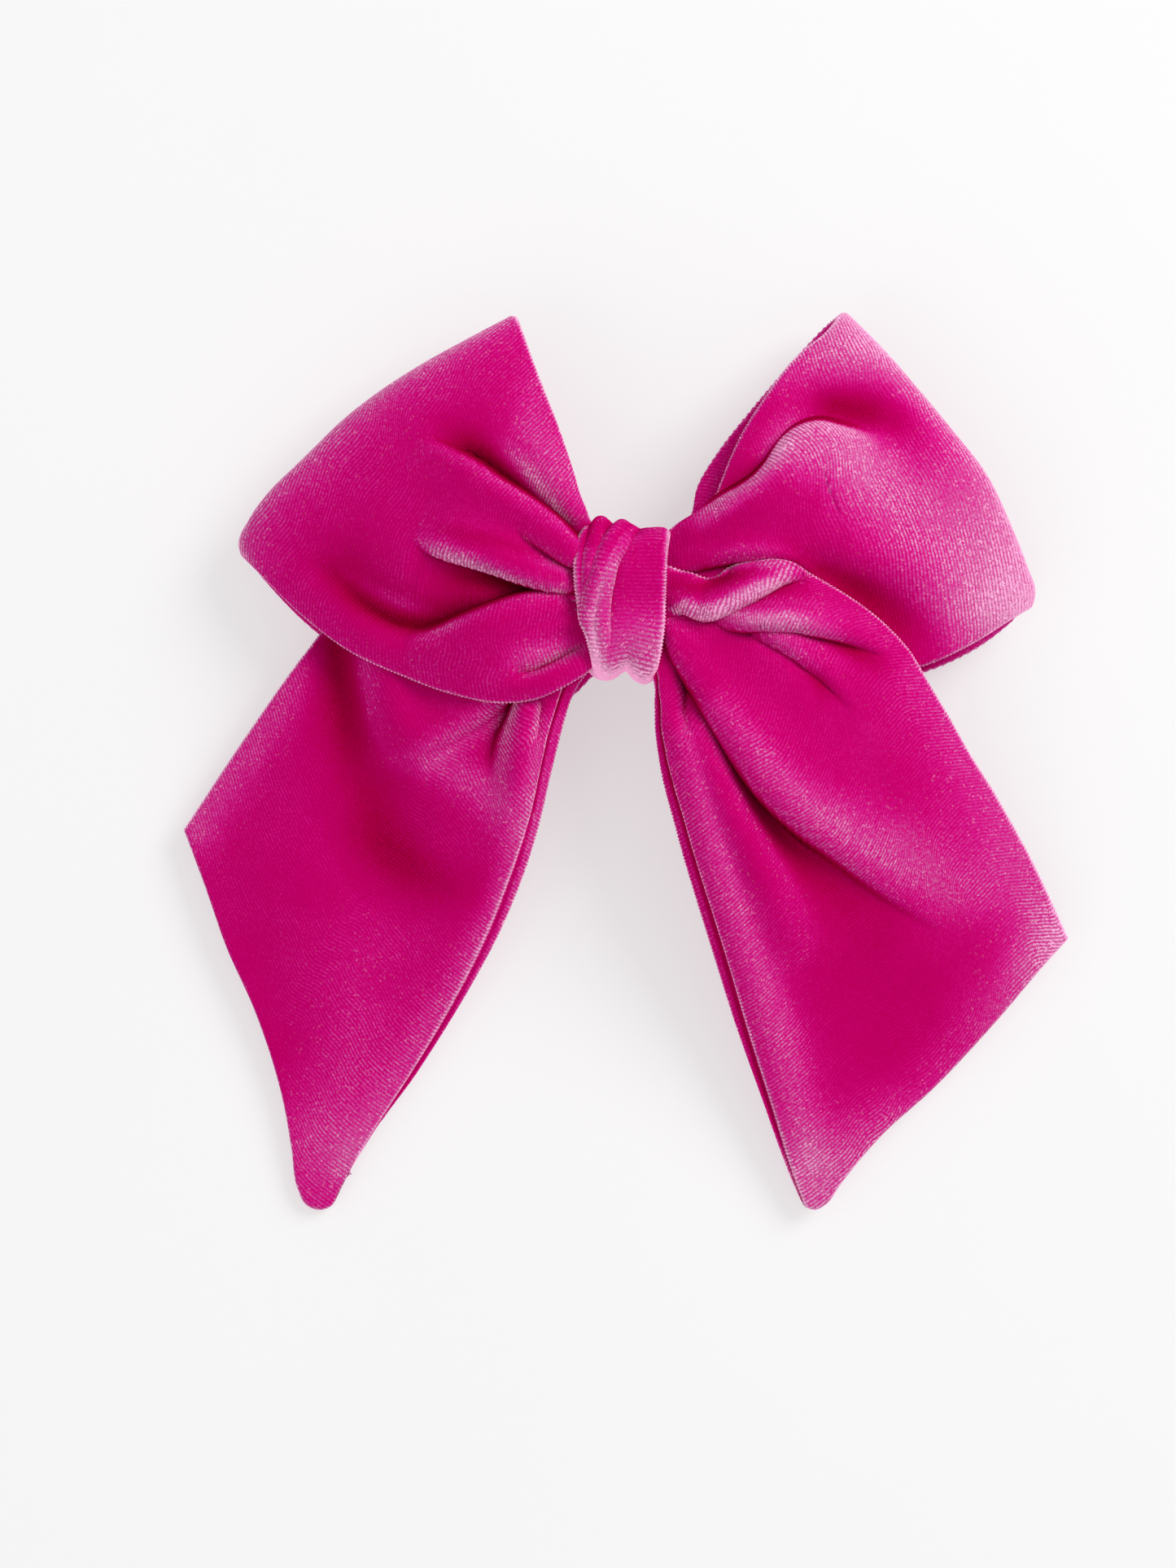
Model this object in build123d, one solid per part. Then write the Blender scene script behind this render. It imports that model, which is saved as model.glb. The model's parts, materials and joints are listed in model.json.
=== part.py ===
"""Velvet bow barrette: a long velvet strip folded into two loops and two pointed tails,
gathered at the middle under a pleated wrap, and mounted on a steel spring barrette.

Frame, in millimetres: +Z points out of the front of the bow, +X to its right as seen from the
front and +Y towards the tips of the loops. The barrette runs along X below the bow, with its hinge
at -X and its catch at +X, closed. Heights below are drawn from the plane it rests on; the origin of
the finished part is the middle of the hair channel, GRIP_Z above that plane.
"""

import os
from math import asin, atan2, cos, degrees, hypot, pi, sin, sqrt

from build123d import *

# ---- Barrette: driving dimensions ------------------------------------------------------------
CLIP_LENGTH = 80.0
CLIP_WIDTH = 9.5
BAR_CROWN_Z = 15.0  # top of the arched bar at mid length
BAR_RADIUS = 130.0  # arch of the bar, to its top face
SHEET = 0.8  # steel sheet of bar, ears and arm
LEAF_THICKNESS = 0.4
LEAF_WIDTH = 5.0
LEAF_SAG = 2.3  # how far the leaf's middle stands off the bar when the clip is closed
CATCH_SHEET = 0.5
GAP = 0.05  # between stacked or sliding steel parts
GRIP_Z = 9.0  # middle of the hair channel, between the arm and the leaf

PIN_X, PIN_Z = -37.0, 2.6
PIN_RADIUS = 0.7
PIN_RUNNING = 0.05  # radial clearance in the arm's knuckle
EAR_FOOT_HALF = 2.0  # half length of each ear's flat foot
RIVET_X = 37.0
RIVET_RADIUS = 1.0
PRESS_GAP = 0.02  # radial gap drawn round riveted shanks
SEWING_HOLE_X, SEWING_HOLE_Y = 27.0, 3.5  # one hole near each corner of the bar
SEWING_HOLE_RADIUS = 0.6

ARM_HALF_WIDTH = 3.3
ARM_CROWN_Z = 6.2  # mid thickness of the arm at mid length
ARM_TIP_X, ARM_TIP_Z = 40.2, 2.0
ARM_BEND_X = 34.5
ARM_SLOT_HALF_LENGTH, ARM_SLOT_HALF_WIDTH = 26.0, 1.5
ARM_HEAD_HALF_WIDTH = 3.9
KNUCKLE_RADIUS = 1.5
CATCH_SLOT = (35.6, 39.2, 2.75)  # first x, last x, half width of the slot in the arm's head

TAB_Y = 2.4  # mid thickness of each release tab's leg
TAB_HINGE_Z = 6.2  # bend line that each tab flexes about
TAB_BOTTOM_Z = 0.6
HOOK_REACH = 0.7
PAD_Y = 5.0
PAD_END_X = 45.5

# ---- Bow: driving dimensions -----------------------------------------------------------------
PLY = 2.6  # thickness of the flattened velvet tube
GATHER_HALF_X, GATHER_HALF_Y = 9.0, 8.0  # the gathered middle of the strip
BACK_Z, MIDDLE_Z, FRONT_Z = 15.8, 18.6, 21.4  # underside of each of the three strands in the knot
WRAP_HALF_X = 8.6
WRAP_THICKNESS = 1.7
WRAP_TOP_Z = 27.0
WRAP_BOTTOM_Z = 12.05
WRAP_HALF_Y = 13.4
WRAP_SHOULDER_Z = 16.6
WRAP_CORNER = 4.0
THREAD_RADIUS = 0.22
GATHER_TURNS = 6


def bar_top(x):
    """Height of the bar's top face at x."""
    return BAR_CROWN_Z - BAR_RADIUS + sqrt(BAR_RADIUS**2 - x**2)


def on_arch(shape, x):
    """Carries a shape built at the bar's crown round the arch to x."""
    pivot = Pos(0, 0, BAR_CROWN_Z - BAR_RADIUS)
    return pivot * Rot(0, degrees(asin(x / BAR_RADIUS)), 0) * pivot.inverse() * shape


def arch_strip(x0, x1, depth, thickness, width):
    """A strip concentric with the bar, its top face depth below the bar's, from x0 to x1."""

    def arc(d):
        radius = BAR_RADIUS - d
        centre_z = BAR_CROWN_Z - BAR_RADIUS
        return [(x, centre_z + sqrt(radius**2 - x**2)) for x in (x0, (x0 + x1) / 2, x1)]

    top, under = arc(depth), arc(depth + thickness)
    edges = [
        ThreePointArc(*top),
        Line(top[2], under[2]),
        ThreePointArc(*under),
        Line(under[0], top[0]),
    ]
    return slab(make_face(edges), width)


def slab(face, width, y=0.0):
    """Extrudes a face drawn as (x, z) through width along Y, centred on y."""
    return Pos(0, y, 0) * extrude(Plane.XZ * face, width / 2, both=True)


def upright(x, y, z0, z1, radius):
    """A cylinder along Z from z0 to z1."""
    return Pos(x, y, (z0 + z1) / 2) * Cylinder(radius, z1 - z0)


def across(x, z, radius, length, y=0.0):
    """A cylinder along Y."""
    return Pos(x, y, z) * Rot(90, 0, 0) * Cylinder(radius, length)


def block(x0, x1, y0, y1, z0, z1):
    """A box between two corners."""
    return Pos((x0 + x1) / 2, (y0 + y1) / 2, (z0 + z1) / 2) * Box(x1 - x0, y1 - y0, z1 - z0)


# ---- Barrette --------------------------------------------------------------------------------
def barrette_bar():
    """The arched bar that the bow is sewn to, with the two hinge ears folded down."""
    half = CLIP_LENGTH / 2
    bar = arch_strip(-half, half, 0, SHEET, CLIP_WIDTH)
    plan = RectangleRounded(CLIP_LENGTH, CLIP_WIDTH, 2.5)
    bar = bar & extrude(plan, BAR_CROWN_Z + 1)

    ear_x0, ear_x1 = PIN_X - 2.2, PIN_X + 6.0
    outline = Polyline(
        (ear_x0, bar_top(ear_x0) - SHEET / 2),
        (ear_x0, 0.9),
        (PIN_X - EAR_FOOT_HALF, 0),
        (PIN_X + EAR_FOOT_HALF, 0),
        (PIN_X + 3.4, 4.6),
        (ear_x1, bar_top(ear_x1) - SHEET / 2),
        close=True,
    )
    ear = make_face(outline)
    ear_y = CLIP_WIDTH / 2 - SHEET / 2
    for side in (-1, 1):
        bar += slab(ear, SHEET, side * ear_y)
    bar -= across(PIN_X, PIN_Z, PIN_RADIUS + PRESS_GAP, CLIP_WIDTH + 2)

    for end in (-1, 1):
        for side in (-1, 1):
            y = side * SEWING_HOLE_Y
            hole = upright(0, y, BAR_CROWN_Z - 3, BAR_CROWN_Z + 1, SEWING_HOLE_RADIUS)
            bar -= on_arch(hole, end * SEWING_HOLE_X)
    return bar - rivet_hole()


def rivet_hole():
    """The hole that the catch rivet's shank passes through."""
    drill = upright(0, 0, BAR_CROWN_Z - 4, BAR_CROWN_Z + 1, RIVET_RADIUS + PRESS_GAP)
    return on_arch(drill, RIVET_X)


def leaf_middle(x):
    """Mid thickness of the leaf spring at x: it follows the bar at both ends and sags between."""
    reach = CLIP_LENGTH / 2 - 7
    sag = LEAF_SAG * cos(pi * x / 2 / reach) ** 2 if abs(x) < reach else 0.0
    return bar_top(x) - SHEET - GAP - LEAF_THICKNESS / 2 - sag


def tension_spring():
    """The leaf that presses the hair: riveted at the catch end, free under the bar at the other."""
    x0, x1, steps = -35.0, 39.6, 16
    xs = [x0 + (x1 - x0) * n / steps for n in range(steps + 1)]
    top = [(x, leaf_middle(x) + LEAF_THICKNESS / 2) for x in xs]
    under = [(x, leaf_middle(x) - LEAF_THICKNESS / 2) for x in reversed(xs)]
    edges = [Spline(*top), Line(top[-1], under[0]), Spline(*under), Line(under[-1], top[0])]
    leaf = slab(make_face(edges), LEAF_WIDTH)
    plan = Pos((x0 + x1) / 2, 0) * RectangleRounded(x1 - x0, LEAF_WIDTH, 1.8)
    return (leaf & extrude(plan, BAR_CROWN_Z)) - rivet_hole()


def catch_depth():
    """How far the catch plate's top face lies below the bar's."""
    return SHEET + LEAF_THICKNESS + 2 * GAP


def catch_plate():
    """The plate riveted under the bar's end, with the two flanges that carry the release tabs."""
    x0, x1 = 33.5, 41.5
    plate = arch_strip(x0, x1, catch_depth(), CATCH_SHEET, 2 * TAB_Y + CATCH_SHEET)
    under = catch_depth() + CATCH_SHEET / 2
    for side in (-1, 1):
        corners = [
            (x0 + 2.0, bar_top(x0 + 2.0) - under),
            (x0 + 2.0, TAB_HINGE_Z + GAP),
            (x1 - 0.4, TAB_HINGE_Z + GAP),
            (x1 - 0.4, bar_top(x1 - 0.4) - under),
        ]
        plate += slab(make_face(Polyline(*corners, close=True)), CATCH_SHEET, side * TAB_Y)
    return plate - rivet_hole()


def catch_tab(side):
    """A release tab: a leg with a hook under the arm's head, and a finger pad past its tip."""
    x0, x1 = CATCH_SLOT[0] + 0.4, CATCH_SLOT[1] - 0.4
    plan = Polyline(
        (x0, side * TAB_Y),
        (x1 + 1.5, side * TAB_Y),
        (x1 + 2.8, side * PAD_Y),
        (PAD_END_X, side * PAD_Y),
    )
    strip = make_face(offset(plan, CATCH_SHEET / 2, kind=Kind.INTERSECTION).edges())
    tab = Pos(0, 0, TAB_BOTTOM_Z) * extrude(strip, TAB_HINGE_Z - TAB_BOTTOM_Z)
    tab -= block(x1, x1 + 2.6, -2 * PAD_Y, 2 * PAD_Y, 0, ARM_TIP_Z + 1.8)
    pad_low = block(x1 + 2.6, PAD_END_X + 1, -2 * PAD_Y, 2 * PAD_Y, 0, 1.4)
    tab -= pad_low
    hook_top = ARM_TIP_Z - SHEET / 2 - GAP
    y0 = side * (TAB_Y - CATCH_SHEET / 4)
    y1 = side * (TAB_Y + CATCH_SHEET / 2 + HOOK_REACH)
    tab += block(x0, x1, min(y0, y1), max(y0, y1), TAB_BOTTOM_Z, hook_top)
    return tab


def catch_rivet():
    """The rivet that holds bar, leaf and catch plate together."""
    stack_bottom = BAR_CROWN_Z - catch_depth() - CATCH_SHEET
    head_radius, head = 1.7, 0.5
    rivet = upright(0, 0, stack_bottom - head, BAR_CROWN_Z + head, RIVET_RADIUS)
    for z0 in (BAR_CROWN_Z + PRESS_GAP, stack_bottom - head):
        rivet += upright(0, 0, z0, z0 + head - PRESS_GAP, head_radius)
    return on_arch(rivet, RIVET_X)


def hinge_pin():
    """The pin that the arm swings on, headed outside both ears."""
    half, head = CLIP_WIDTH / 2, 0.5
    pin = across(PIN_X, PIN_Z, PIN_RADIUS, CLIP_WIDTH + 2 * head)
    for side in (-1, 1):
        pin += across(PIN_X, PIN_Z, 1.25, head, side * (half + PRESS_GAP + head / 2))
    return pin


def clasp_arm():
    """The slotted arm that closes under the hair and is held by the catch's hooks."""
    half = SHEET / 2
    start, bend, tip = (PIN_X, PIN_Z), (ARM_BEND_X, ARM_TIP_Z), (ARM_TIP_X, ARM_TIP_Z)

    def line(dz):
        arc = ThreePointArc(
            (start[0], start[1] + dz), (0, ARM_CROWN_Z + dz), (bend[0], bend[1] + dz)
        )
        return [arc, Line((bend[0], bend[1] + dz), (tip[0], tip[1] + dz))]

    ends = [
        Line((start[0], start[1] - half), (start[0], start[1] + half)),
        Line((tip[0], tip[1] - half), (tip[0], tip[1] + half)),
    ]
    strip = slab(make_face(line(half) + line(-half) + ends), 2 * ARM_HEAD_HALF_WIDTH)

    length = ARM_TIP_X - PIN_X
    body = Pos((PIN_X + ARM_TIP_X) / 2, 0) * Rectangle(length, 2 * ARM_HALF_WIDTH)
    head_length = ARM_TIP_X - ARM_BEND_X + 1.0
    head = Pos(ARM_TIP_X - head_length / 2, 0) * RectangleRounded(
        head_length, 2 * ARM_HEAD_HALF_WIDTH, 1.2
    )
    slot = SlotOverall(2 * ARM_SLOT_HALF_LENGTH, 2 * ARM_SLOT_HALF_WIDTH)
    catch = Pos((CATCH_SLOT[0] + CATCH_SLOT[1]) / 2, 0) * Rectangle(
        CATCH_SLOT[1] - CATCH_SLOT[0], 2 * CATCH_SLOT[2]
    )
    plan = (body + head) - slot - catch
    arm = strip & extrude(plan, BAR_CROWN_Z)

    knuckle_width = CLIP_WIDTH - 2 * SHEET - 0.3
    arm += across(PIN_X, PIN_Z, KNUCKLE_RADIUS, knuckle_width)
    return arm - across(PIN_X, PIN_Z, PIN_RADIUS + PIN_RUNNING, CLIP_WIDTH + 2)


# ---- Bow -------------------------------------------------------------------------------------
# Plan outlines. Corners come first to last round each ply; arcs bow through the middle point.
LEFT_TIP, LEFT_BOW, LEFT_CORNER = (-18.9, 50.2), (-47.5, 33.4), (-67.6, 10.0)
RIGHT_TIP, RIGHT_BOW, RIGHT_CORNER = (38.8, 51.0), (60.5, 27.5), (72.2, 0.5)

# Height of each ply's underside against distance from the middle of the knot.
LEFT_FRONT = [(4, FRONT_Z), (9, FRONT_Z), (25, 23.2), (42, 19.0), (58, 12.0), (74, 8.6)]
RIGHT_FRONT = [(4, MIDDLE_Z), (9, MIDDLE_Z), (25, 20.4), (42, 18.0), (58, 12.6), (74, 8.6)]
LOOP_BACK = [(4, BACK_Z), (16, 15.7), (28, 14.2), (42, 11.4), (58, 8.0), (74, 5.6)]
LEFT_TAIL = [(4, MIDDLE_Z), (9, MIDDLE_Z), (28, 17.6), (42, 14.6), (60, 9.4), (85, 3.6), (120, 0.2)]
RIGHT_TAIL = [(4, FRONT_Z), (9, FRONT_Z), (28, 23.5), (42, 21.2), (56, 17.2), (82, 7.2), (120, 0.2)]


def ply(profile, thickness=PLY, lift=0.0):
    """A sheet that falls away from the knot: a profile of radius and height turned about Z."""
    under = [(r, z + lift) for r, z in profile]
    top = [(r, z + thickness) for r, z in reversed(under)]
    edges = [Spline(*under), Line(under[-1], top[0]), Spline(*top), Line(top[-1], under[0])]
    return revolve(Plane.XZ * make_face(edges), Axis.Z)


def prism(edges):
    """The space over a plan outline."""
    return extrude(make_face(edges), 2 * WRAP_TOP_Z)


def edge_points(*points):
    """A free edge through its points."""
    return Spline(*points)


def loop(tip, bow, corner, upper, lower, front):
    """A loop: front ply, back ply and the fold that joins them, open along both edges."""
    outline = [
        ThreePointArc(tip, bow, corner),
        edge_points(corner, *lower),
        Line(lower[-1], upper[0]),
        edge_points(*upper, tip),
    ]
    plan = prism(outline)
    fold = filled(LOOP_BACK, front) & plan & beyond(tip, bow, corner)
    return (ply(front) & plan) + (ply(LOOP_BACK) & plan) + fold


def beyond(tip, bow, corner):
    """The space outside an arc that runs one ply's thickness inside a loop's fold."""
    inner = [(x * s, y * s) for x, y in (tip, bow, corner) for s in (1 - PLY / hypot(x, y),)]
    past_tip = (2 * tip[0] - corner[0], 2 * tip[1] - corner[1])
    past_corner = (2 * corner[0] - tip[0], 2 * corner[1] - tip[1])
    far = [(1.6 * x, 1.6 * y) for x, y in (past_corner, past_tip)]
    edges = [ThreePointArc(*inner), Polyline(inner[2], past_corner, *far, past_tip, inner[0])]
    return prism(edges)


def filled(low, high):
    """Everything between the underside of one ply and the top of another."""
    under = Spline(*low)
    top = [(r, z + PLY) for r, z in reversed(high)]
    edges = [under, Line(low[-1], top[0]), Spline(*top), Line(top[-1], low[0])]
    return revolve(Plane.XZ * make_face(edges), Axis.Z)


def tail(outer, end, tip, inner, profile):
    """A pointed tail: outer edge, cut end, rounded tip, then the inner edge back to the knot."""
    outline = [
        edge_points(*outer, end[0]),
        ThreePointArc(*end, tip[0]),
        ThreePointArc(*tip),
        edge_points(tip[2], *inner),
        Line(inner[-1], outer[0]),
    ]
    return ply(profile) & prism(outline)


def bow_strip():
    """The whole velvet strip: left tail, right loop, left loop and right tail, in that order."""
    x, y = GATHER_HALF_X, GATHER_HALF_Y
    left = loop(
        LEFT_TIP,
        LEFT_BOW,
        LEFT_CORNER,
        upper=[(-x, y), (-11.5, 30.9)],
        lower=[(-58.7, -1.0), (-37.5, -13.7), (-18, -16.5), (-x, -y)],
        front=LEFT_FRONT,
    )
    right = loop(
        RIGHT_TIP,
        RIGHT_BOW,
        RIGHT_CORNER,
        upper=[(x, y), (19.3, 28.0)],
        lower=[(66.0, -5.0), (51.3, -12.0), (28.0, -12.5), (x, -y)],
        front=RIGHT_FRONT,
    )
    left_tail = tail(
        outer=[(-x, y), (-35, 5), (-54, -8.5), (-66.1, -25.7)],
        end=[(-75.7, -40), (-63.8, -70.1)],
        tip=[(-56.6, -100.1), (-52.6, -105.3), (-48.2, -99.6)],
        inner=[(-27.9, -67.3), (-14.9, -35.9), (-10.2, -19), (-x, -y)],
        profile=LEFT_TAIL,
    )
    right_tail = tail(
        outer=[(x, y), (30, 6), (46, -5), (58, -24.5)],
        end=[(77.1, -58.6), (53.3, -85.7)],
        tip=[(37.8, -101.4), (32.4, -105.8), (28.9, -100.4)],
        inner=[(20, -72.5), (10, -40), (7.2, -24), (9.3, -14), (x, -y)],
        profile=RIGHT_TAIL,
    )
    strip = left + right + left_tail + right_tail
    for z in (BACK_Z, MIDDLE_Z, FRONT_Z):
        strip += block(-x, x, -y, y, z, z + PLY)
    return strip


def knot_wrap():
    """The velvet band round the gathered strip and the bar: wide above, narrow below."""
    foot = CLIP_WIDTH / 2 + WRAP_THICKNESS + 0.4
    half = [(foot, WRAP_BOTTOM_Z), (WRAP_HALF_Y, WRAP_SHOULDER_Z), (WRAP_HALF_Y, WRAP_TOP_Z)]
    mirrored = [(-y, z) for y, z in reversed(half)]
    block_section = make_face(Polyline(*half, *mirrored, close=True))
    outer = fillet(block_section.vertices().filter_by_position(Axis.Y, 15, 30), WRAP_CORNER)
    ring = outer - offset(outer, -WRAP_THICKNESS)
    return extrude(Plane.YZ * ring, WRAP_HALF_X, both=True)


def thread_loop(width, z0, z1, radius=THREAD_RADIUS, corner=2.0):
    """A closed turn of thread round a rectangle in the YZ plane, at x = 0."""
    height = z1 - z0
    frame = RectangleRounded(width, height, corner)
    path = Plane.YZ * (Pos(0, (z0 + z1) / 2) * frame)
    wire = path.face().outer_wire()
    section = Plane(origin=wire @ 0, z_dir=wire % 0) * Circle(radius)
    return sweep(section, path=wire)


def gather_thread():
    """Turns of thread drawn tight round the gathered strip, under the wrap."""
    gap = THREAD_RADIUS + 0.1
    turn = thread_loop(
        2 * (GATHER_HALF_Y + gap), BACK_Z - gap, FRONT_Z + PLY + gap, corner=2 * THREAD_RADIUS
    )
    pitch = 2 * THREAD_RADIUS + 0.15
    first = -pitch * (GATHER_TURNS - 1) / 2
    return Compound([Pos(first + n * pitch, 0, 0) * turn for n in range(GATHER_TURNS)])


def wrap_stitches():
    """Hand stitches that close the wrap's overlap, on its slope below the knot's lower edge."""
    count, pitch, length = 5, 3.0, 1.6
    foot = CLIP_WIDTH / 2 + WRAP_THICKNESS + 0.4
    run, rise = WRAP_HALF_Y - foot, WRAP_SHOULDER_Z - WRAP_BOTTOM_Z
    slope = atan2(run, rise)
    clear = THREAD_RADIUS + GAP
    y = -(foot + run / 2) - clear * cos(slope)
    z = WRAP_BOTTOM_Z + rise / 2 - clear * sin(slope)
    stitch = Pos(0, y, z) * Rot(degrees(slope), 0, 0) * Cylinder(THREAD_RADIUS, length)
    first = -pitch * (count - 1) / 2
    return Compound([Pos(first + n * pitch, 0, 0) * stitch for n in range(count)])


def bar_stitches():
    """Thread that sews the bar's corners to the loops' back ply through the sewing holes."""
    width = CLIP_WIDTH / 2 - SEWING_HOLE_Y + THREAD_RADIUS + 0.1
    low = BAR_CROWN_Z - SHEET - THREAD_RADIUS - 0.1
    turn = thread_loop(width, low, BAR_CROWN_Z + 2.6, corner=0.5)
    turns = []
    for end in (-1, 1):
        for side in (-1, 1):
            placed = Pos(0, side * (SEWING_HOLE_Y + width / 2), 0) * turn
            turns.append(on_arch(placed, end * SEWING_HOLE_X))
    return Compound(turns)


PARTS = {
    "barrette_bar": barrette_bar,
    "tension_spring": tension_spring,
    "catch_plate": catch_plate,
    "catch_tab_front": lambda: catch_tab(-1),
    "catch_tab_back": lambda: catch_tab(1),
    "catch_rivet": catch_rivet,
    "hinge_pin": hinge_pin,
    "clasp_arm": clasp_arm,
    "bow_strip": bow_strip,
    "knot_wrap": knot_wrap,
    "gather_thread": gather_thread,
    "wrap_stitches": wrap_stitches,
    "bar_stitches": bar_stitches,
}

os.makedirs("parts", exist_ok=True)
for name, build in PARTS.items():
    export_step(Pos(0, 0, -GRIP_Z) * build(), f"parts/{name}.step")
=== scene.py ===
import json
import math

import bpy
import numpy as np
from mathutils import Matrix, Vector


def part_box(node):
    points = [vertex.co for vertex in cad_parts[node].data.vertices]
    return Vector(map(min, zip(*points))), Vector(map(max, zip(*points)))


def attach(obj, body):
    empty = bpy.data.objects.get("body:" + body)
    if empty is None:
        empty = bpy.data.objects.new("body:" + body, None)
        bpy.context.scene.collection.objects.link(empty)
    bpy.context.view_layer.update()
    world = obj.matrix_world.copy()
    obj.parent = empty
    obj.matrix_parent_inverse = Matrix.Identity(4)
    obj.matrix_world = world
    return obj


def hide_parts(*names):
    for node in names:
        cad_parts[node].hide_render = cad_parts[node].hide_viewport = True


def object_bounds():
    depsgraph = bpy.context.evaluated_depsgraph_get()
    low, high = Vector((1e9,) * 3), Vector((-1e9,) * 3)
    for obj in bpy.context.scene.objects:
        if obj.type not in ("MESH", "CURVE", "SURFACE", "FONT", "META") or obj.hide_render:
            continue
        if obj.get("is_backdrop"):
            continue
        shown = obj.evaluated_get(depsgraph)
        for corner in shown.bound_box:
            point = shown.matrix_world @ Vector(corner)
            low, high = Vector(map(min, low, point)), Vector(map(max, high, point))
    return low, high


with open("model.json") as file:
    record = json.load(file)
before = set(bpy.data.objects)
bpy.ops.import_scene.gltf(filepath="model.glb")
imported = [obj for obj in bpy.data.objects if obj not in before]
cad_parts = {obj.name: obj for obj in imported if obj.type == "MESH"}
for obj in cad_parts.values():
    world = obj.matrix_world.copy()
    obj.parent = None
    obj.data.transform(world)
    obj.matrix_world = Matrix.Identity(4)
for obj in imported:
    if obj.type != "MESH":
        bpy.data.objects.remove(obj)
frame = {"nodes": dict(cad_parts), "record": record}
CAD_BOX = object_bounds()

# Lengths in this script are millimetres until a mesh is made. Heights are measured from the table.
MM = 0.001
TABLE_Z = CAD_BOX[0][2] / MM  # the table's height in the row frame
STRIP_WIDTH = 60.0
RIB = 0.67  # pitch of the velvet's ribs
TOOTH = 0.14  # how far the ribs' ends stick out at an edge
HALF_PLY = 1.15  # half the thickness of the flattened velvet tube
TOOTH_REACH = 0.5  # how far in from the edge they are felt

# Painted light and shade: how pale (above 0, painted highlight and sheen) or dark (below 0, painted shade)
# the pile is coloured.
CREST_HIGHLIGHT = 0.15  # painted highlight along the crest of a sharp fold
WALL_SHADE = 1.0  # painted shade on the steep side below the crest, taken away
HOLLOW_SHADE = 0.15  # painted shade at the bottom of a fold, taken away for each millimetre of depth
HOLLOW_DEPTH = 3.0  # depth beyond which it grows no darker
# painted sheen along both edges of the strip
RIM_SHEEN = 0.65  # along both edges of the strip
RIM_REACH = 0.5

# The strip's seam runs beside the inner edge of each tail.
SEAM_DEPTH = 0.8
SEAM_HALF_WIDTH = 0.45
SEAM_STEP = 0.6  # how much lower the narrow side beyond the seam lies

SPACING = 400  # points on a line that is read off by interpolation
FOLD_POINTS = 90  # points on the path of a fold
BACK_TONE = 0.5  # share of a layer's painted light and shade that its lower side shows
FLOOR_SIZE = 30.0  # metres, so that its edge stays out of sight

# The camera stands straight above. Plan outlines are drawn as it sees them on the plane EYE_PLANE.
EYE = (-6.1, -31.8, 600.0)
EYE_PLANE = 12.0
FRAME_TALL = 271.7  # height of the camera's frame on that plane


# ---- Curves ----------------------------------------------------------------------------------
def hermite(x, xs, ys):
    """Smooth interpolation of rows ys over increasing xs, with slopes taken from neighbours."""
    x, xs, ys = np.asarray(x, float), np.asarray(xs, float), np.asarray(ys, float)
    slopes = np.gradient(ys, xs, axis=0)
    k = np.clip(np.searchsorted(xs, x) - 1, 0, len(xs) - 2)
    span = xs[k + 1] - xs[k]
    t = (np.clip(x, xs[0], xs[-1]) - xs[k]) / span
    if ys.ndim > 1:
        t, span = t[..., None], span[..., None]
    a, b = ys[k], ys[k + 1]
    c, d = slopes[k] * span, slopes[k + 1] * span
    return (
        a * (1 + 2 * t) * (1 - t) ** 2 + c * t * (1 - t) ** 2 + b * t**2 * (3 - 2 * t) + d * t**2 * (t - 1)
    )


def curve(points, count):
    """Evenly spaced points on a smooth curve through the given ones."""
    points = np.asarray(points, float)
    chord = np.r_[0, np.cumsum(np.linalg.norm(np.diff(points, axis=0), axis=1))]
    dense = hermite(np.linspace(0, chord[-1], SPACING), chord, points)
    length = np.r_[0, np.cumsum(np.linalg.norm(np.diff(dense, axis=0), axis=1))]
    at = np.linspace(0, length[-1], count)
    return np.stack([np.interp(at, length, dense[:, i]) for i in range(dense.shape[1])], axis=1)


def patch(edge_a, edge_b, start, end, us, vs):
    """Plan positions inside four edges: u runs from start to end, v from edge a to edge b."""
    grid = np.linspace(0, 1, SPACING)
    a, b = curve(edge_a, SPACING), curve(edge_b, SPACING)
    s, e = curve(start, SPACING), curve(end, SPACING)

    def at(line, t):
        return np.stack([np.interp(t, grid, line[:, i]) for i in range(2)], axis=-1)

    u, v = us[:, None, None], vs[None, :, None]
    sides = (1 - v) * at(a, us)[:, None] + v * at(b, us)[:, None]
    ends = (1 - u) * at(s, vs)[None] + u * at(e, vs)[None]
    corners = (1 - u) * ((1 - v) * s[0] + v * s[-1]) + u * ((1 - v) * e[0] + v * e[-1])
    return sides + ends - corners


def near(xy, points):
    """For each plan position: signed distance to a curve (left is positive), place along it,
    distance past its ends, and the curve's normal there."""
    line = curve(points, FOLD_POINTS)
    flat = xy.reshape(-1, 2)
    gap = ((flat[:, None] - line[None]) ** 2).sum(-1)
    k = gap.argmin(1)
    tangent = np.gradient(line, axis=0)
    tangent /= np.linalg.norm(tangent, axis=1)[:, None]
    off = flat - line[k]
    along = (off * tangent[k]).sum(1)
    side = tangent[k, 0] * off[:, 1] - tangent[k, 1] * off[:, 0]
    past = np.where((k == 0) | (k == len(line) - 1), along, 0.0)
    shape = xy.shape[:-1]
    normal = np.stack([-tangent[k, 1], tangent[k, 0]], axis=1).reshape(shape + (2,))
    return side.reshape(shape), (k / (len(line) - 1.0)).reshape(shape), past.reshape(shape), normal


# ---- Folds -----------------------------------------------------------------------------------
def ridge(points, height, left, right=None):
    """A rounded ridge (or, below zero, a valley). Heights and widths are given along the curve."""
    return ("ridge", points, height, left, right or left, 0.0, 0.0)


def lip(points, height, left, right, lean=0.0, sharp=0.8):
    """A crest on the curve's left that drops sharply to a trough on its right and may overhang."""
    return ("lip", points, height, left, right, lean, sharp)


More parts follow.
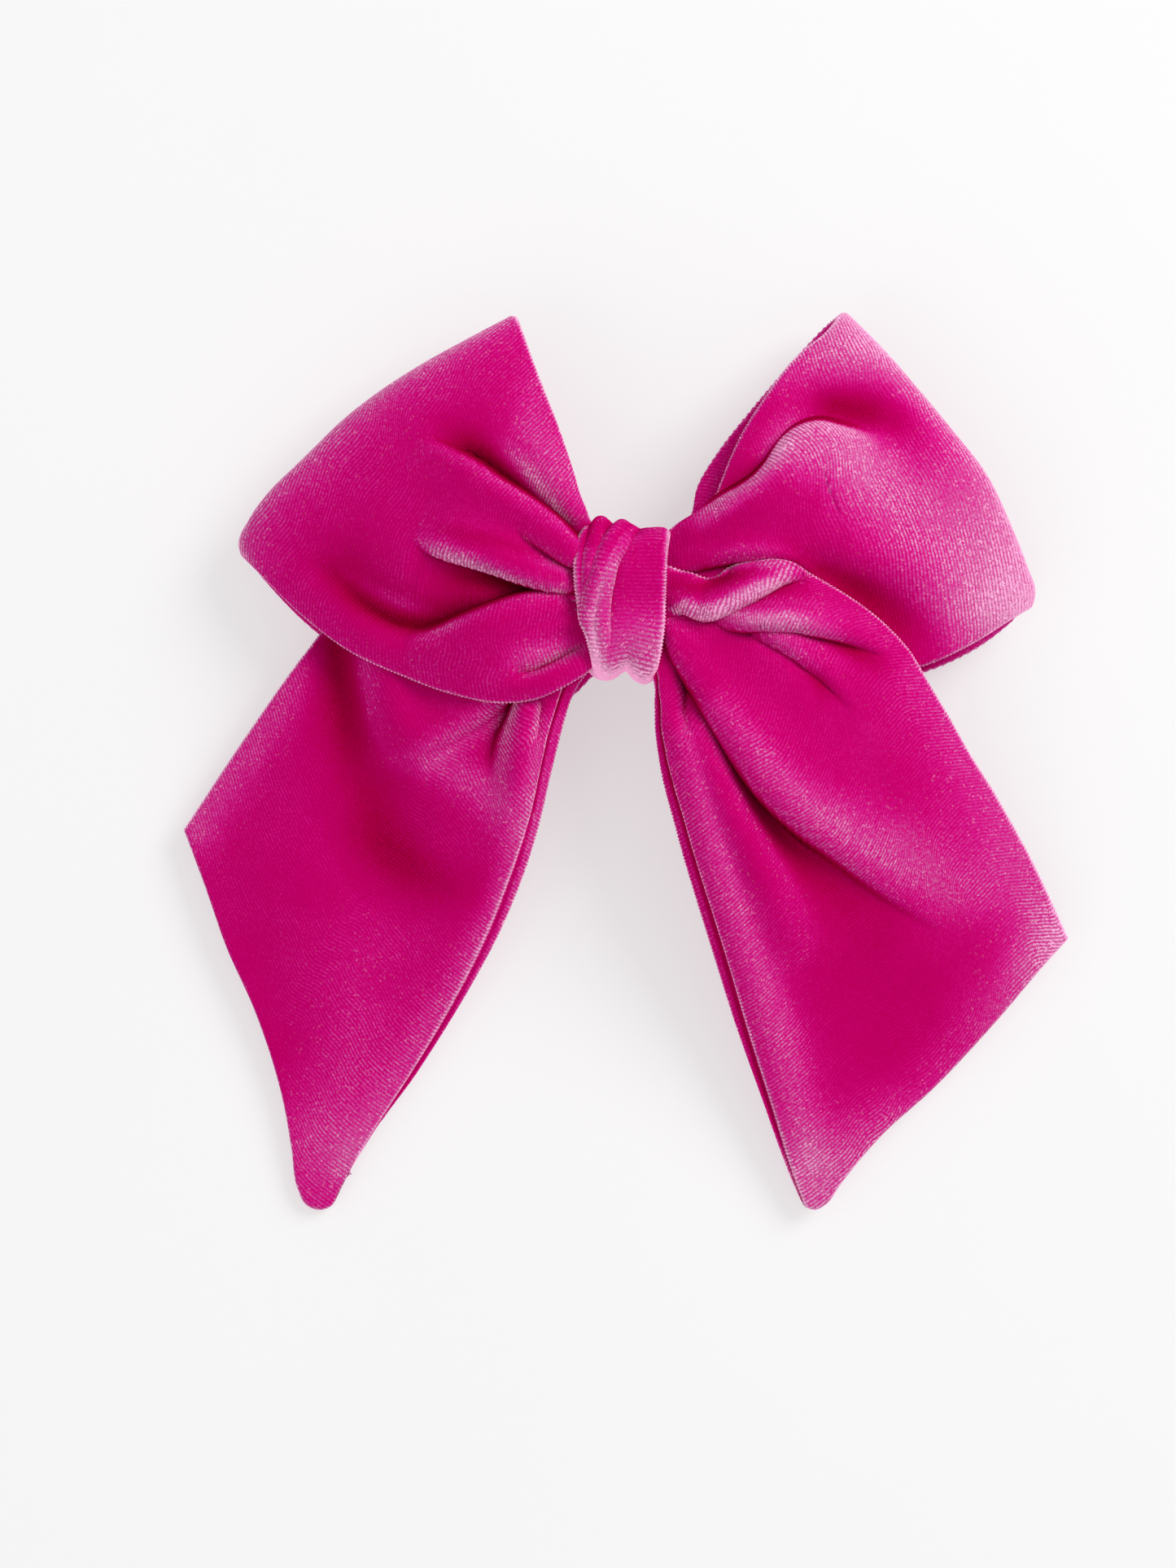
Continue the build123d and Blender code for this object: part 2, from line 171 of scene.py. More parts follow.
def along(values, t):
    """Spreads a few values evenly over the length of a curve."""
    values = np.atleast_1d(np.asarray(values, float))
    if len(values) == 1:
        return np.full_like(t, values[0])
    return hermite(t, np.linspace(0, 1, len(values)), values)


def fold(xy, folds):
    """Height, sideways shift, and painted highlight and shade that a list of folds gives each plan position.
    """
    rise = np.zeros(xy.shape[:-1])
    shift = np.zeros(xy.shape)
    painted_light = np.zeros(xy.shape[:-1])
    for kind, points, height, left, right, lean, sharp in folds:
        side, t, past, normal = near(xy, points)
        h, wl, wr = along(height, t), along(left, t), along(right, t)
        width = np.where(side > 0, wl, wr)
        end = np.exp(-((past / np.maximum(width, 1e-3)) ** 2))
        if kind == "ridge":
            rise += h * end * np.exp(-((side / width) ** 2))
        else:
            rise += h * end * np.tanh(side / sharp) * np.exp(-((side / width) ** 2)) * 0.5
            hang = along(lean, t) * end * np.exp(-(((side - 0.5 * sharp) / (1.8 * sharp)) ** 2))
            shift -= hang[..., None] * normal
            # painted highlight along a lip's crest and painted shade on the wall below it
            strength = end * np.clip(h / 5, 0, 1)
            painted_light += CREST_HIGHLIGHT * strength * np.exp(-(((side - 1.2 * sharp) / (0.7 * sharp + 0.15)) ** 2))
            painted_light -= WALL_SHADE * strength * np.exp(-(((side + 0.35 * sharp) / (0.95 * sharp)) ** 2))
    return rise, shift, painted_light


# ---- Meshes ----------------------------------------------------------------------------------
def seen(points):
    """Moves points along the camera's plane so that they appear where their plan outline says."""
    scale = (EYE[2] - points[..., 2:]) / (EYE[2] - EYE_PLANE)
    flat = np.array(EYE[:2]) + (points[..., :2] - EYE[:2]) * scale
    return np.concatenate([flat, points[..., 2:]], axis=-1)


def normals(sheet):
    """Unit normals of a grid of points."""
    n = np.cross(np.gradient(sheet, axis=0), np.gradient(sheet, axis=1))
    return n / np.maximum(np.linalg.norm(n, axis=-1), 1e-9)[..., None]


def lengths(sheet):
    """Distance along the first direction of a grid."""
    step = np.linalg.norm(np.diff(sheet, axis=0), axis=-1)
    out = np.zeros(sheet.shape[:2])
    out[1:] = np.cumsum(step, axis=0)
    return out


def smooth_rows(values, rounds):
    """Evens values out along the second direction."""
    for _ in range(rounds):
        padded = np.pad(values, ((0, 0), (1, 1)), mode="edge")
        values = (padded[:, :-2] + 2 * values + padded[:, 2:]) / 4
    return values


def mesh_object(name, points, faces, uv, painted_tones, material):
    """An object from points in millimetres above the table, with a UV pair and a value of painted light and
    shade for each.
    """
    points = (np.asarray(points).reshape(-1, 3) + (0, 0, TABLE_Z)) * MM
    mesh = bpy.data.meshes.new(name)
    mesh.from_pydata(points.tolist(), [], faces)
    layer = mesh.uv_layers.new(name="cloth")
    corner = np.empty(len(mesh.loops), dtype=np.int32)
    mesh.loops.foreach_get("vertex_index", corner)
    layer.data.foreach_set("uv", np.asarray(uv).reshape(-1, 2)[corner].astype(np.float32).ravel())
    mesh.polygons.foreach_set("use_smooth", [True] * len(mesh.polygons))
    # the pile attribute carries the painted light and shade to the velvet shader
    pile = mesh.attributes.new("pile", "FLOAT", "POINT")
    pile.data.foreach_set("value", np.asarray(painted_tones, np.float32))
    mesh.materials.append(material)
    mesh.update()
    obj = bpy.data.objects.new(name, mesh)
    bpy.context.scene.collection.objects.link(obj)
    return obj


def tube(name, sheet, material, painted_light, relief=None, ends=False, closed=False, u=None, width=STRIP_WIDTH):
    """A flattened velvet tube round a sheet: an upper and a lower layer that meet at both edges.

    relief lifts the upper layer only. u is the distance along the strip, for the ribs.
    """
    rows, cols = sheet.shape[:2]
    relief = np.zeros((rows, cols)) if relief is None else relief
    n = normals(sheet)
    front = n[rows // 2] if closed else n[: rows // 3]
    if front[..., 2].mean() < 0:
        sheet, painted_light, relief, n = sheet[:, ::-1], painted_light[:, ::-1], relief[:, ::-1], -n[:, ::-1]
    if closed:
        n[0] = n[-1] = (n[0] + n[-1]) / np.linalg.norm(n[0] + n[-1], axis=-1)[..., None]
    u = smooth_rows(lengths(sheet), 12) if u is None else np.broadcast_to(u, (rows, cols))
    edge = round_edge(sheet, ends)
    sheet = sheet + teeth(sheet)
    upper = sheet + n * (edge + relief)[..., None]
    lower = sheet - n * edge[..., None]
    lower[:, 0], lower[:, -1] = upper[:, 0], upper[:, -1]
    points = np.concatenate([upper.reshape(-1, 3), lower[:, 1:-1].reshape(-1, 3)])
    top = np.arange(rows * cols).reshape(rows, cols)
    under = np.empty((rows, cols), dtype=int)
    under[:, 1:-1] = rows * cols + np.arange(rows * (cols - 2)).reshape(rows, cols - 2)
    under[:, 0], under[:, -1] = top[:, 0], top[:, -1]

    def quads(grid):
        corners = (grid[:-1, :-1], grid[1:, :-1], grid[1:, 1:], grid[:-1, 1:])
        return np.stack(corners, axis=-1).reshape(-1, 4)

    faces = np.concatenate([quads(top), quads(under)[:, ::-1]]).tolist()
    v = np.broadcast_to(np.linspace(0, width, cols), (rows, cols))
    uv = np.stack([u, v], axis=-1)
    uv_all = np.concatenate([uv.reshape(-1, 2), uv[:, 1:-1].reshape(-1, 2)])
    # painted light and shade for both layers; the lower layer shows a share of it
    painted_tones = np.concatenate([painted_light.ravel(), BACK_TONE * painted_light[:, 1:-1].ravel()])
    return mesh_object(name, points, faces, uv_all, painted_tones, material)


def teeth(sheet):
    """Sideways push of every second row, which gives the strip's edges the small teeth of its ribs."""
    rib = np.cos(math.pi * np.arange(len(sheet)))[:, None]
    from_a, from_b = edge_gaps(sheet)
    out_a = sheet[:, :1] - sheet[:, 4:5]
    out_b = sheet[:, -1:] - sheet[:, -5:-4]
    push = np.zeros(sheet.shape)
    for gap, out in ((from_a, out_a), (from_b, out_b)):
        unit = out / np.maximum(np.linalg.norm(out, axis=-1), 1e-6)[..., None]
        push = push + unit * (TOOTH * rib * np.exp(-((gap / TOOTH_REACH) ** 2)))[..., None]
    return push


def across_steps(count):
    """Places across the strip from 0 to 1, closer together near both edges."""
    t = np.linspace(0, 1, count)
    return t - 0.11 * np.sin(2 * math.pi * t)


def edge_gaps(sheet):
    """Distance of each point from the sheet's first and last column."""
    step = np.linalg.norm(np.diff(sheet, axis=1), axis=-1)
    from_a = np.concatenate([np.zeros((len(sheet), 1)), np.cumsum(step, axis=1)], axis=1)
    return from_a, from_a[:, -1:] - from_a


def round_edge(sheet, cut_end=False, radius=HALF_PLY):
    """Half thickness over a sheet that falls to nothing in a round way at its edges."""
    gap = np.minimum(*edge_gaps(sheet))
    if cut_end:
        run = np.linalg.norm(np.diff(sheet, axis=0), axis=-1)
        to_end = np.zeros(sheet.shape[:2])
        to_end[:-1] = np.cumsum(run[::-1], axis=0)[::-1]
        gap = np.minimum(gap, to_end)
    s = np.clip(gap / radius, 0, 1)
    return radius * np.sqrt(np.maximum(1 - (1 - s) ** 2, 0))


# ---- The strip's four parts ------------------------------------------------------------------
def from_knot(xy, profile):
    """Height against distance from the middle of the knot."""
    r = np.hypot(xy[..., 0], xy[..., 1])
    return hermite(r, [p[0] for p in profile], [p[1] for p in profile])


def pleats(xy, count, depth, reach, phase=0.0):
    """Small gathers that radiate from the knot and die away."""
    r = np.hypot(xy[..., 0], xy[..., 1])
    angle = np.arctan2(xy[..., 1], xy[..., 0] * 0.8)
    wobble = np.sin(count * angle + phase + 0.03 * r) + 0.4 * np.sin(2.3 * count * angle + 2 * phase)
    return depth * wobble * np.exp(-((r / reach) ** 2))


GATHER = 8.0  # half the strip's width inside the knot
LEFT_ARC = [
    (-18.9, 50.4), (-28, 45.7), (-36, 41.3), (-44, 36.1), (-50, 31.3), (-54, 27.4), (-58, 23.5), (-62, 19.6),
    (-65.8, 14.4), (-67.4, 10.8), (-66.8, 8.2),
]
RIGHT_ARC = [
    (38.8, 51.0), (46, 43.9), (52, 37.1), (58, 29.9), (64, 22.1), (68, 13.8), (71, 6.1), (72.3, 2.0),
    (71.6, -0.9),
]

LEFT_FOLDS = [
    # the middle roll stands over a dark valley beside the flap
    lip(
        [
            (-9.3, 10.8), (-10.9, 12.4), (-14.0, 14.9), (-17.8, 17.6), (-21.3, 19.9), (-25.6, 23.2),
            (-30.4, 26.0), (-35, 28.2),
        ],
        [5.0, 5.6, 6.0, 5.8, 5.0, 3.8, 2.0, 0], [3, 5, 7, 9], [2.0, 2.8, 4.0, 5.2, 6.5],
        [0.4, 0.6, 0.5, 0.3, 0, 0], 0.7,
    ),
    ridge([(-8.0, 15.5), (-11.5, 22), (-17, 31)], [1.2, 1.2, 0], [1.6, 3.0, 5]),
    # its lower edge near the knot
    lip(
        [(-18.5, 12.7), (-14.9, 10.5), (-12.1, 8.6), (-9.3, 6.9)],
        [0, 1.8, 3.2, 3.8], [4, 3, 2.4], [3, 2.4, 1.8], [0, 0.2, 0.4], 0.5,
    ),
    # ridge that ends in the pocket, with a sharp lower side
    lip(
        [(-36, 10.2), (-30.5, 8.3), (-26.2, 7.4), (-22, 6.2), (-17.8, 4.6), (-13.5, 3.1), (-9.3, 1.9)],
        [0, 3.0, 5.0, 6.4, 7.0, 6.8, 6.2], [9, 8, 6, 4.5, 3.5, 3], [7, 6, 5, 4, 3, 2.5],
        [0, 0.3, 0.7, 0.9, 0.9, 0.8, 0.5], 0.5,
    ),
    # upper edge of the lower roll
    lip(
        [(-9.2, 1.3), (-16.2, -0.1), (-23.6, -2.4), (-29.2, -4.3), (-33.2, -5.8), (-37.5, -6.4)],
        [5.0, 6.2, 6.2, 5.4, 3.2, 0], [3, 5, 6, 7], [1.6, 2.6, 4, 5], [0.5, 1.0, 0.9, 0.4, 0],
    ),
    # soft valley that carries on from the pocket round the corner
    ridge(
        [(-24, 0.6), (-30, -3.2), (-36.5, -4.4), (-42.2, -1.6), (-46.8, 2.2), (-51.5, 6.0), (-55, 10)],
        [0, -2.0, -3.2, -3.2, -2.6, -1.6, 0], [2.8, 2.8, 3.0, 3.4], [4.4, 5.4, 6.4, 8],
    ),
    # crease on the lower roll
    ridge(
        [(-5.5, -7.2), (-10, -9.4), (-13.5, -11.2), (-16.5, -12.4), (-20, -11.6)],
        [-1.8, -2.6, -3.2, -2.8, 0], [1.0, 1.1, 1.3, 1.7],
    ),
    ridge([(-8, -11.4), (-14, -14.2), (-20, -14.4)], [0.9, 1.1, 0], [1.6, 2, 2.6]),
]

RIGHT_FOLDS = [
    # valley across the top and the bulge under it
    lip(
        [
            (44, 27.5), (37.8, 29.2), (33.6, 29.8), (30.3, 28.4), (28.0, 25.8), (25.8, 22.6),
            (23.4, 20.2), (18.5, 17.3), (12, 13.6),
        ],
        [0, 3.0, 4.8, 5.4, 5.4, 5.0, 4.4, 3.4, 2.4], [13, 11, 9, 8, 7, 6, 5, 3],
        [9, 7, 6, 5, 4.4, 4, 3.4, 2.4], [0, 0.1, 0.5, 0.8, 0.9, 0.8, 0.6, 0.4],
    ),
    ridge([(34, 34.0), (42, 32.5), (51, 27.5)], [-1.6, -2.0, 0], [5, 6, 7]),
    # fold that hangs over the slit above the tail's first pleat
    lip(
        [(11, 5.6), (15.7, 6.8), (18.9, 7.4), (22.8, 7.7), (26.3, 7.6), (29.5, 6.4), (33, 4.2)],
        [1.5, 3.0, 3.8, 4.0, 3.4, 2.0, 0], [2.4, 3, 3.4, 3.6], [2.0, 2.4, 3.0, 3.4],
        [0.1, 0.2, 0.2, 0.2, 0.1, 0, 0], 0.35,
    ),
    # lower valley beside the tail
    ridge(
        [(28, 8.2), (35, 5), (42.4, 0.5), (48, -4.0), (56, -4)],
        [-0.6, -2.4, -3.2, -2.6, 0], [3, 4, 5, 6, 7],
    ),
    ridge([(20, 13), (34, 17), (48, 15)], [1.2, 2.5, 0], [7, 10, 12]),
    ridge([(40, 8), (50, 6), (60, 2)], [0.8, 1.2, 0.4], [4, 5, 6]),
]

RIGHT_TAIL_FOLDS = [
    # three narrow pleats that twist out of the knot along the upper edge, each over the next
    lip(
        [
            (8.5, -1.9), (10.4, -1.0), (11.6, -1.2), (14.2, -1.8), (16.5, -1.1), (18.9, 0),
            (21.2, 1.1), (23.6, 2.3), (25.9, 3.5), (28.3, 4.1), (31.8, 4.4),
        ],
        [4.4, 5.2, 5.8, 6.2, 6.4, 6.0, 5.0, 3.4, 0], [2.8, 3.0, 3.0, 3.0, 2.6, 2.2],
        [1.6, 2, 2.4, 2.6, 2.6], [0.6, 0.8, 1.0, 1.1, 1.0, 0.8, 0.3, 0], 0.4,
    ),
    ridge(
        [(13.4, 3.4), (15.4, 2.9), (17.2, 3.2), (18.6, 4.4), (19.6, 5.8)],
        [-0.6, -1.6, -2.2, -1.8, -0.6], [1.0, 1.2, 1.2, 1.0],
    ),
    lip(
        [
            (14.9, -1.9), (16.5, -3.0), (18.2, -3.4), (21.2, -3.6), (24.8, -3.5), (28.3, -3.6),
            (30.6, -3.7), (33, -4.4), (35.3, -5.0), (37.7, -5.8), (41, -7.2), (45, -9.5),
        ],
        [1.0, 3.6, 4.8, 5.4, 5.6, 5.6, 5.0, 4.0, 3.0, 1.6, 0], [2.0, 2.6, 3, 3.4, 3.8, 4.2],
        [1.4, 1.8, 2.2, 3, 4, 5, 6], [0.1, 0.8, 1.0, 1.1, 1.0, 0.6, 0.1, 0], 0.45,
    ),
    lip(
        [
            (18.2, -3.9), (21.2, -4.8), (24.8, -6.2), (27.1, -7.2), (29.5, -8.5), (31.8, -10.3),
            (33.7, -11.8), (36, -14.4), (40, -19.5),
        ],
        [1.0, 2.8, 3.8, 3.8, 3.2, 2.4, 1.5, 0.7, 0], [1.4, 2, 2.4, 3, 3.4, 4, 5],
        [1.4, 1.8, 2.2, 2.8, 3.4, 4], [0.2, 0.5, 0.6, 0.5, 0.1, 0], 0.5,
    ),
    # main ridge with its sharp drop to the left, softening towards the corner
    lip(
        [
            (7.8, -6.4), (10.4, -10.9), (13.4, -15.2), (16.0, -19.6), (19.4, -24.8), (24.0, -31.4),
            (30.0, -38.2), (37.4, -44.6), (45.8, -51.0), (56, -57.5),
        ],
        [3.4, 4.4, 5.4, 6.0, 5.8, 4.8, 3.5, 2.2, 1.0, 0], [3, 5, 8, 11, 13, 15],
        [2, 2.6, 3.4, 4.4, 6, 8, 10], [0.4, 0.9, 1.3, 1.6, 1.6, 1.0, 0.2, 0, 0, 0], 0.7,
    ),
    ridge(
        [(15.2, -21), (19.8, -31), (24.8, -39.8), (31.2, -47.8), (38, -54), (47, -60)],
        [-1.4, -2.4, -2.4, -1.8, -1.0, 0], [2, 2.8, 3.8, 5, 8, 10],
    ),
    # small crease by the knot and the roll along the inner edge
    ridge(
        [(9.7, -11.5), (10.6, -16.1), (10.4, -20.5), (10.8, -24)],
        [-2.4, -3.0, -2.0, 0], [1.0, 1.1, 1.4],
    ),
    ridge(
        [(14.2, -22), (17.1, -30), (19.3, -36), (22.6, -43), (26.5, -52), (30, -64)],
        [1.4, 2.6, 2.8, 2.4, 1.4, 0], [2.2, 3.0, 3.4, 4.5, 6],
    ),
    ridge(
        [(9.4, -22), (13.4, -38), (18, -54), (24, -72), (30, -90)],
        [1.2, 1.6, 1.8, 1.6, 0.8], [2.4, 3, 3.6, 5],
    ),
    ridge([(52, -78), (42, -66)], [-1.2, -1.0], [14, 12]),
]

LEFT_TAIL_FOLDS = [
    # broad valley down the outer third
    ridge(
        [(-49.5, -7), (-47.7, -16.8), (-44.3, -30.5), (-40, -44.1), (-28, -50)],
        [-3.0, -3.0, -2.2, -1.8, 0], [4.5, 6, 8, 10, 10],
    ),
    ridge([(-42, -12), (-40, -20), (-36.5, -30)], [1.8, 2.4, 0], [4, 5, 7]),
    # slanting crest with lit ribs and the dark crease beside the rolls
    lip(
        [(-37, -27.6), (-31, -24.2), (-26, -21.2), (-21.6, -17.8)],
        [0, 1.6, 2.6, 3.0], [6, 5, 4], [7, 6, 4],
    ),
    ridge(
        [(-19.2, -17.5), (-20.5, -20.6), (-21.8, -23.2), (-22.6, -27), (-22.4, -32)],
        [-4.6, -4.0, -2.8, -1.4, 0], [1.3, 1.5, 2.0, 2.6],
    ),
    ridge(
        [(-16.8, -19), (-17.9, -27), (-19, -36), (-23, -50)],
        [2.6, 2.4, 1.5, 0.3], [1.9, 2.4, 3.4, 6],
    ),
    ridge([(-14.6, -18.5), (-15.2, -21.5), (-15.6, -25)], [-2.0, -1.4, 0], [0.9, 1.0, 1.2]),
    ridge([(-58, -50), (-50, -72), (-50, -90)], [1.2, 1.6, 0.6], [10, 10, 8]),
]

KNOT_FOLDS = [
    # three pleats on the left and small waves along the lower edge
    lip(
        [
            (-2.9, 13.4), (-4.4, 12.4), (-5.1, 10.3), (-5.8, 6.8), (-6.2, 3.2), (-6.5, -0.3),
            (-6.5, -4.6),
        ],
        [1.6, 2.2, 2.4, 2.4, 2.0, 1.2, 0.2], [1.0], [1.3], 0.3, 0.28,
    ),
    lip(
        [
            (1.2, 12.8), (-0.8, 11.7), (-2.3, 10.1), (-3.9, 6.8), (-4.6, 4.4), (-5.3, 2.1),
            (-5.9, -1.5), (-6.0, -4),
        ],
        [1.4, 2.4, 2.8, 2.8, 2.6, 2.2, 1.2, 0.2], [1.1], [1.1], 0.35, 0.28,
    ),
    lip(
        [
            (-3.2, -7.6), (-3.4, -2.6), (-3.2, 0.9), (-2.7, 3.5), (-2.0, 6.3), (-0.8, 8.4),
            (1.0, 10.5), (3.9, 11.9),
        ],
        [0.2, 1.6, 2.2, 2.4, 2.4, 2.0, 1.2, 0.2], [1.2], [1.6], 0.25, 0.28,
    ),
    ridge([(0.6, -14), (0.4, -11), (0.3, -9)], [-1.0, -0.6, 0], [1.0]),
    ridge([(-2.5, -14), (-2.4, -11)], [0.5, 0.2], [1.2]),
    ridge([(3.2, -14.5), (3.4, -11), (3.4, -7)], [0.7, 0.4, 0], [1.3]),
]


# Strokes of painted light and shade on the pile: painted highlight and sheen above zero, painted shade in
# folds and creases below zero.
LEFT_PAINTED_TONES = [
    ridge(LEFT_ARC, [0.08, 0.28, 0.36, 0.38, 0.36], 7),
    ridge([(-13.5, 40), (-16, 30), (-12.5, 23), (-9, 15)], [0.15, 0.3, 0.4, 0.3], [4, 4, 3, 2]),
    ridge(
        [(-36, 10.8), (-31, 8.9), (-26.5, 7.6), (-22, 6.3), (-17.6, 4.9), (-9, 2.4)],
        [0, 0.7, 1.05, 0.95, 0.45, 0.3], [1.1, 0.9, 0.45, 0.3], [0.8, 0.6, 0.4, 0.3],
    ),
    ridge([(-33, 12.6), (-27, 11), (-21, 9.4), (-15, 7)], [0, -0.25, -0.25, -0.1], [1.6, 1.4, 1.2]),
    ridge(
        [(-30.5, 7.4), (-26.2, 6.5), (-22, 5.3), (-17.8, 3.8), (-12, 1.8)],
        [-0.1, -0.5, -0.7, -0.7, -0.5], 0.9,
    ),
    ridge(
        [(-9, 1.5), (-14, 2.0), (-20, 3.0), (-27, 3.6), (-33, 4.0)],
        [-0.6, -0.7, -0.6, -0.3, 0], [0.7, 0.9, 1.2, 1.6, 1.6],
    ),
    ridge(
        [(-9, 1.7), (-14, 1.2), (-20, 0.2), (-27, -1.6), (-33, -3)],
        [-0.3, -0.2, -0.25, -0.2, -0.15], [0.8, 1.3, 2.2, 3, 3],
    ),
    ridge(
        [(-24, -1.4), (-29, -3.2), (-34, -4.6), (-39.5, -3.9), (-44.5, -1.4), (-49.5, 3)],
        [-0.2, -0.5, -0.65, -0.55, -0.4, -0.15], [0.8, 1.0, 1.2, 1.6, 2.4], [1.2, 1.6, 2.0, 2.4, 3.5],
    ),
    ridge([(-47, 4.6), (-41.5, 1.4), (-36, -0.8), (-31.5, -1.6)], [0.15, 0.3, 0.35, 0.1], 1.3),
    ridge([(-7, -8.4), (-10, -10), (-13.5, -11.8), (-17, -12.6)], [-0.4, -0.4, -0.45, -0.3], 0.7),
    ridge(
        [(-7, -8.6), (-12, -8.6), (-17.5, -9.6), (-21, -12)],
        [0.3, 0.45, 0.45, 0.1], [1.8, 2.4, 2.4],
    ),
    ridge(
        [
            (-9.2, 12.4), (-12.5, 15.0), (-15.8, 17.6), (-19.1, 20.2), (-22.5, 23.0), (-25.8, 25.8),
            (-30, 28.4),
        ],
        [-0.4, -0.7, -0.85, -0.85, -0.75, -0.5, -0.1], [0.5, 0.6, 0.8, 1.2, 2.0],
        [0.6, 1.0, 1.8, 2.6, 3.4],
    ),
    ridge(
        [(-9.4, 14.0), (-11.6, 17.0), (-14.2, 20.2), (-17.6, 23.8), (-21.5, 27.2)],
        [0.45, 0.6, 0.65, 0.45, 0.1], [0.7, 1.1, 1.4, 1.8],
    ),
]
RIGHT_PAINTED_TONES = [
    ridge(
        [(39, 47), (48, 38), (58, 26), (66, 14), (69, 2)],
        [0.48, 0.42, 0.45, 0.54, 0.58], [9, 7, 9, 12],
    ),
    ridge([(31, 38), (36, 42), (40, 44)], [0.3, 0.35, 0.35], [6, 7, 8]),
    ridge(
        [(30, 26), (36, 25.6), (44, 20), (54, 12), (62, 5)],
        [0.6, 0.7, 0.6, 0.5, 0.4], [5, 7, 9, 10],
    ),
    ridge([(50, 4), (60, -2), (66, -2)], [0.0, 0.25, 0.4], [5, 6, 7]),
    ridge([(24, 25), (28.5, 31), (33, 33)], [0.3, 0.35, 0.1], [1.6, 2, 2]),
    ridge([(30, 7.2), (38, 3.5), (46, -2.5)], [-0.25, -0.25, -0.1], [3, 4, 4]),
    ridge(
        [(14, 5.9), (18.9, 6.7), (22.8, 7.0), (26.3, 6.9), (29, 6.2)],
        [-0.9, -1.3, -1.4, -1.2, -0.5], 0.75,
    ),
    ridge([(15.7, 7.6), (19, 8.5), (23, 8.9), (27, 8.8), (31, 7.6)], [0.1, 0.25, 0.25, 0.15, 0], 0.9),
    ridge([(37, 33.6), (44.6, 31.6), (51, 28), (57, 22)], [-0.3, -0.35, -0.3, -0.1], [3, 4, 5]),
    ridge(
        [(14, 13), (19, 16.4), (24, 19.8), (27, 23.2), (28.8, 26.4)],
        [0.3, 0.45, 0.45, 0.4, 0.3], 1.0,
    ),
    ridge([(20, 19.0), (24, 22.4), (27.2, 27)], [-0.4, -0.5, -0.3], 1.2),
]
LEFT_TAIL_PAINTED_TONES = [
    ridge(
        [(-19.2, -17.5), (-20.5, -20.6), (-21.8, -23.2), (-22.4, -27)],
        [-0.9, -0.7, -0.4, -0.1], [0.9, 1.0, 1.3],
    ),
    ridge([(-14.4, -18), (-15.2, -21.5), (-15.6, -25)], [-0.6, -0.5, -0.1], 0.6),
    ridge([(-50, -8), (-48, -17), (-44.5, -29)], [-0.3, -0.2, 0], [3, 4, 6]),
    ridge([(-52, -96), (-53, -104)], 0.3, 10),
    ridge([(-50, -4), (-62, -22), (-74, -39)], [0.2, 0.35, 0.45], [3, 4, 5]),
    ridge(
        [(-13.5, -22), (-16, -36), (-24, -58), (-40, -84), (-48, -98)],
        [0.35, 0.4, 0.4, 0.35, 0.35], 3,
    ),
    ridge([(-21.5, -18.8), (-26, -22.4), (-31, -25.4), (-37, -28)], [0.5, 0.6, 0.5, 0.1], [2, 2.6, 3]),
    ridge(
        [(-33, -28.8), (-28, -30.2), (-23.5, -33), (-19.5, -38.5)],
        [0.3, 0.42, 0.4, 0.25], [2.8, 3.6, 4.2, 4.2],
    ),
    ridge(
        [(-44, -35), (-40.5, -42.5), (-34, -47.5), (-27, -50)],
        [-0.12, -0.28, -0.3, -0.15], [4, 4, 4.4],
    ),
    ridge([(-44, -62), (-46, -76), (-50, -92)], [0.15, 0.2, 0.2], [10, 9, 8]),
]
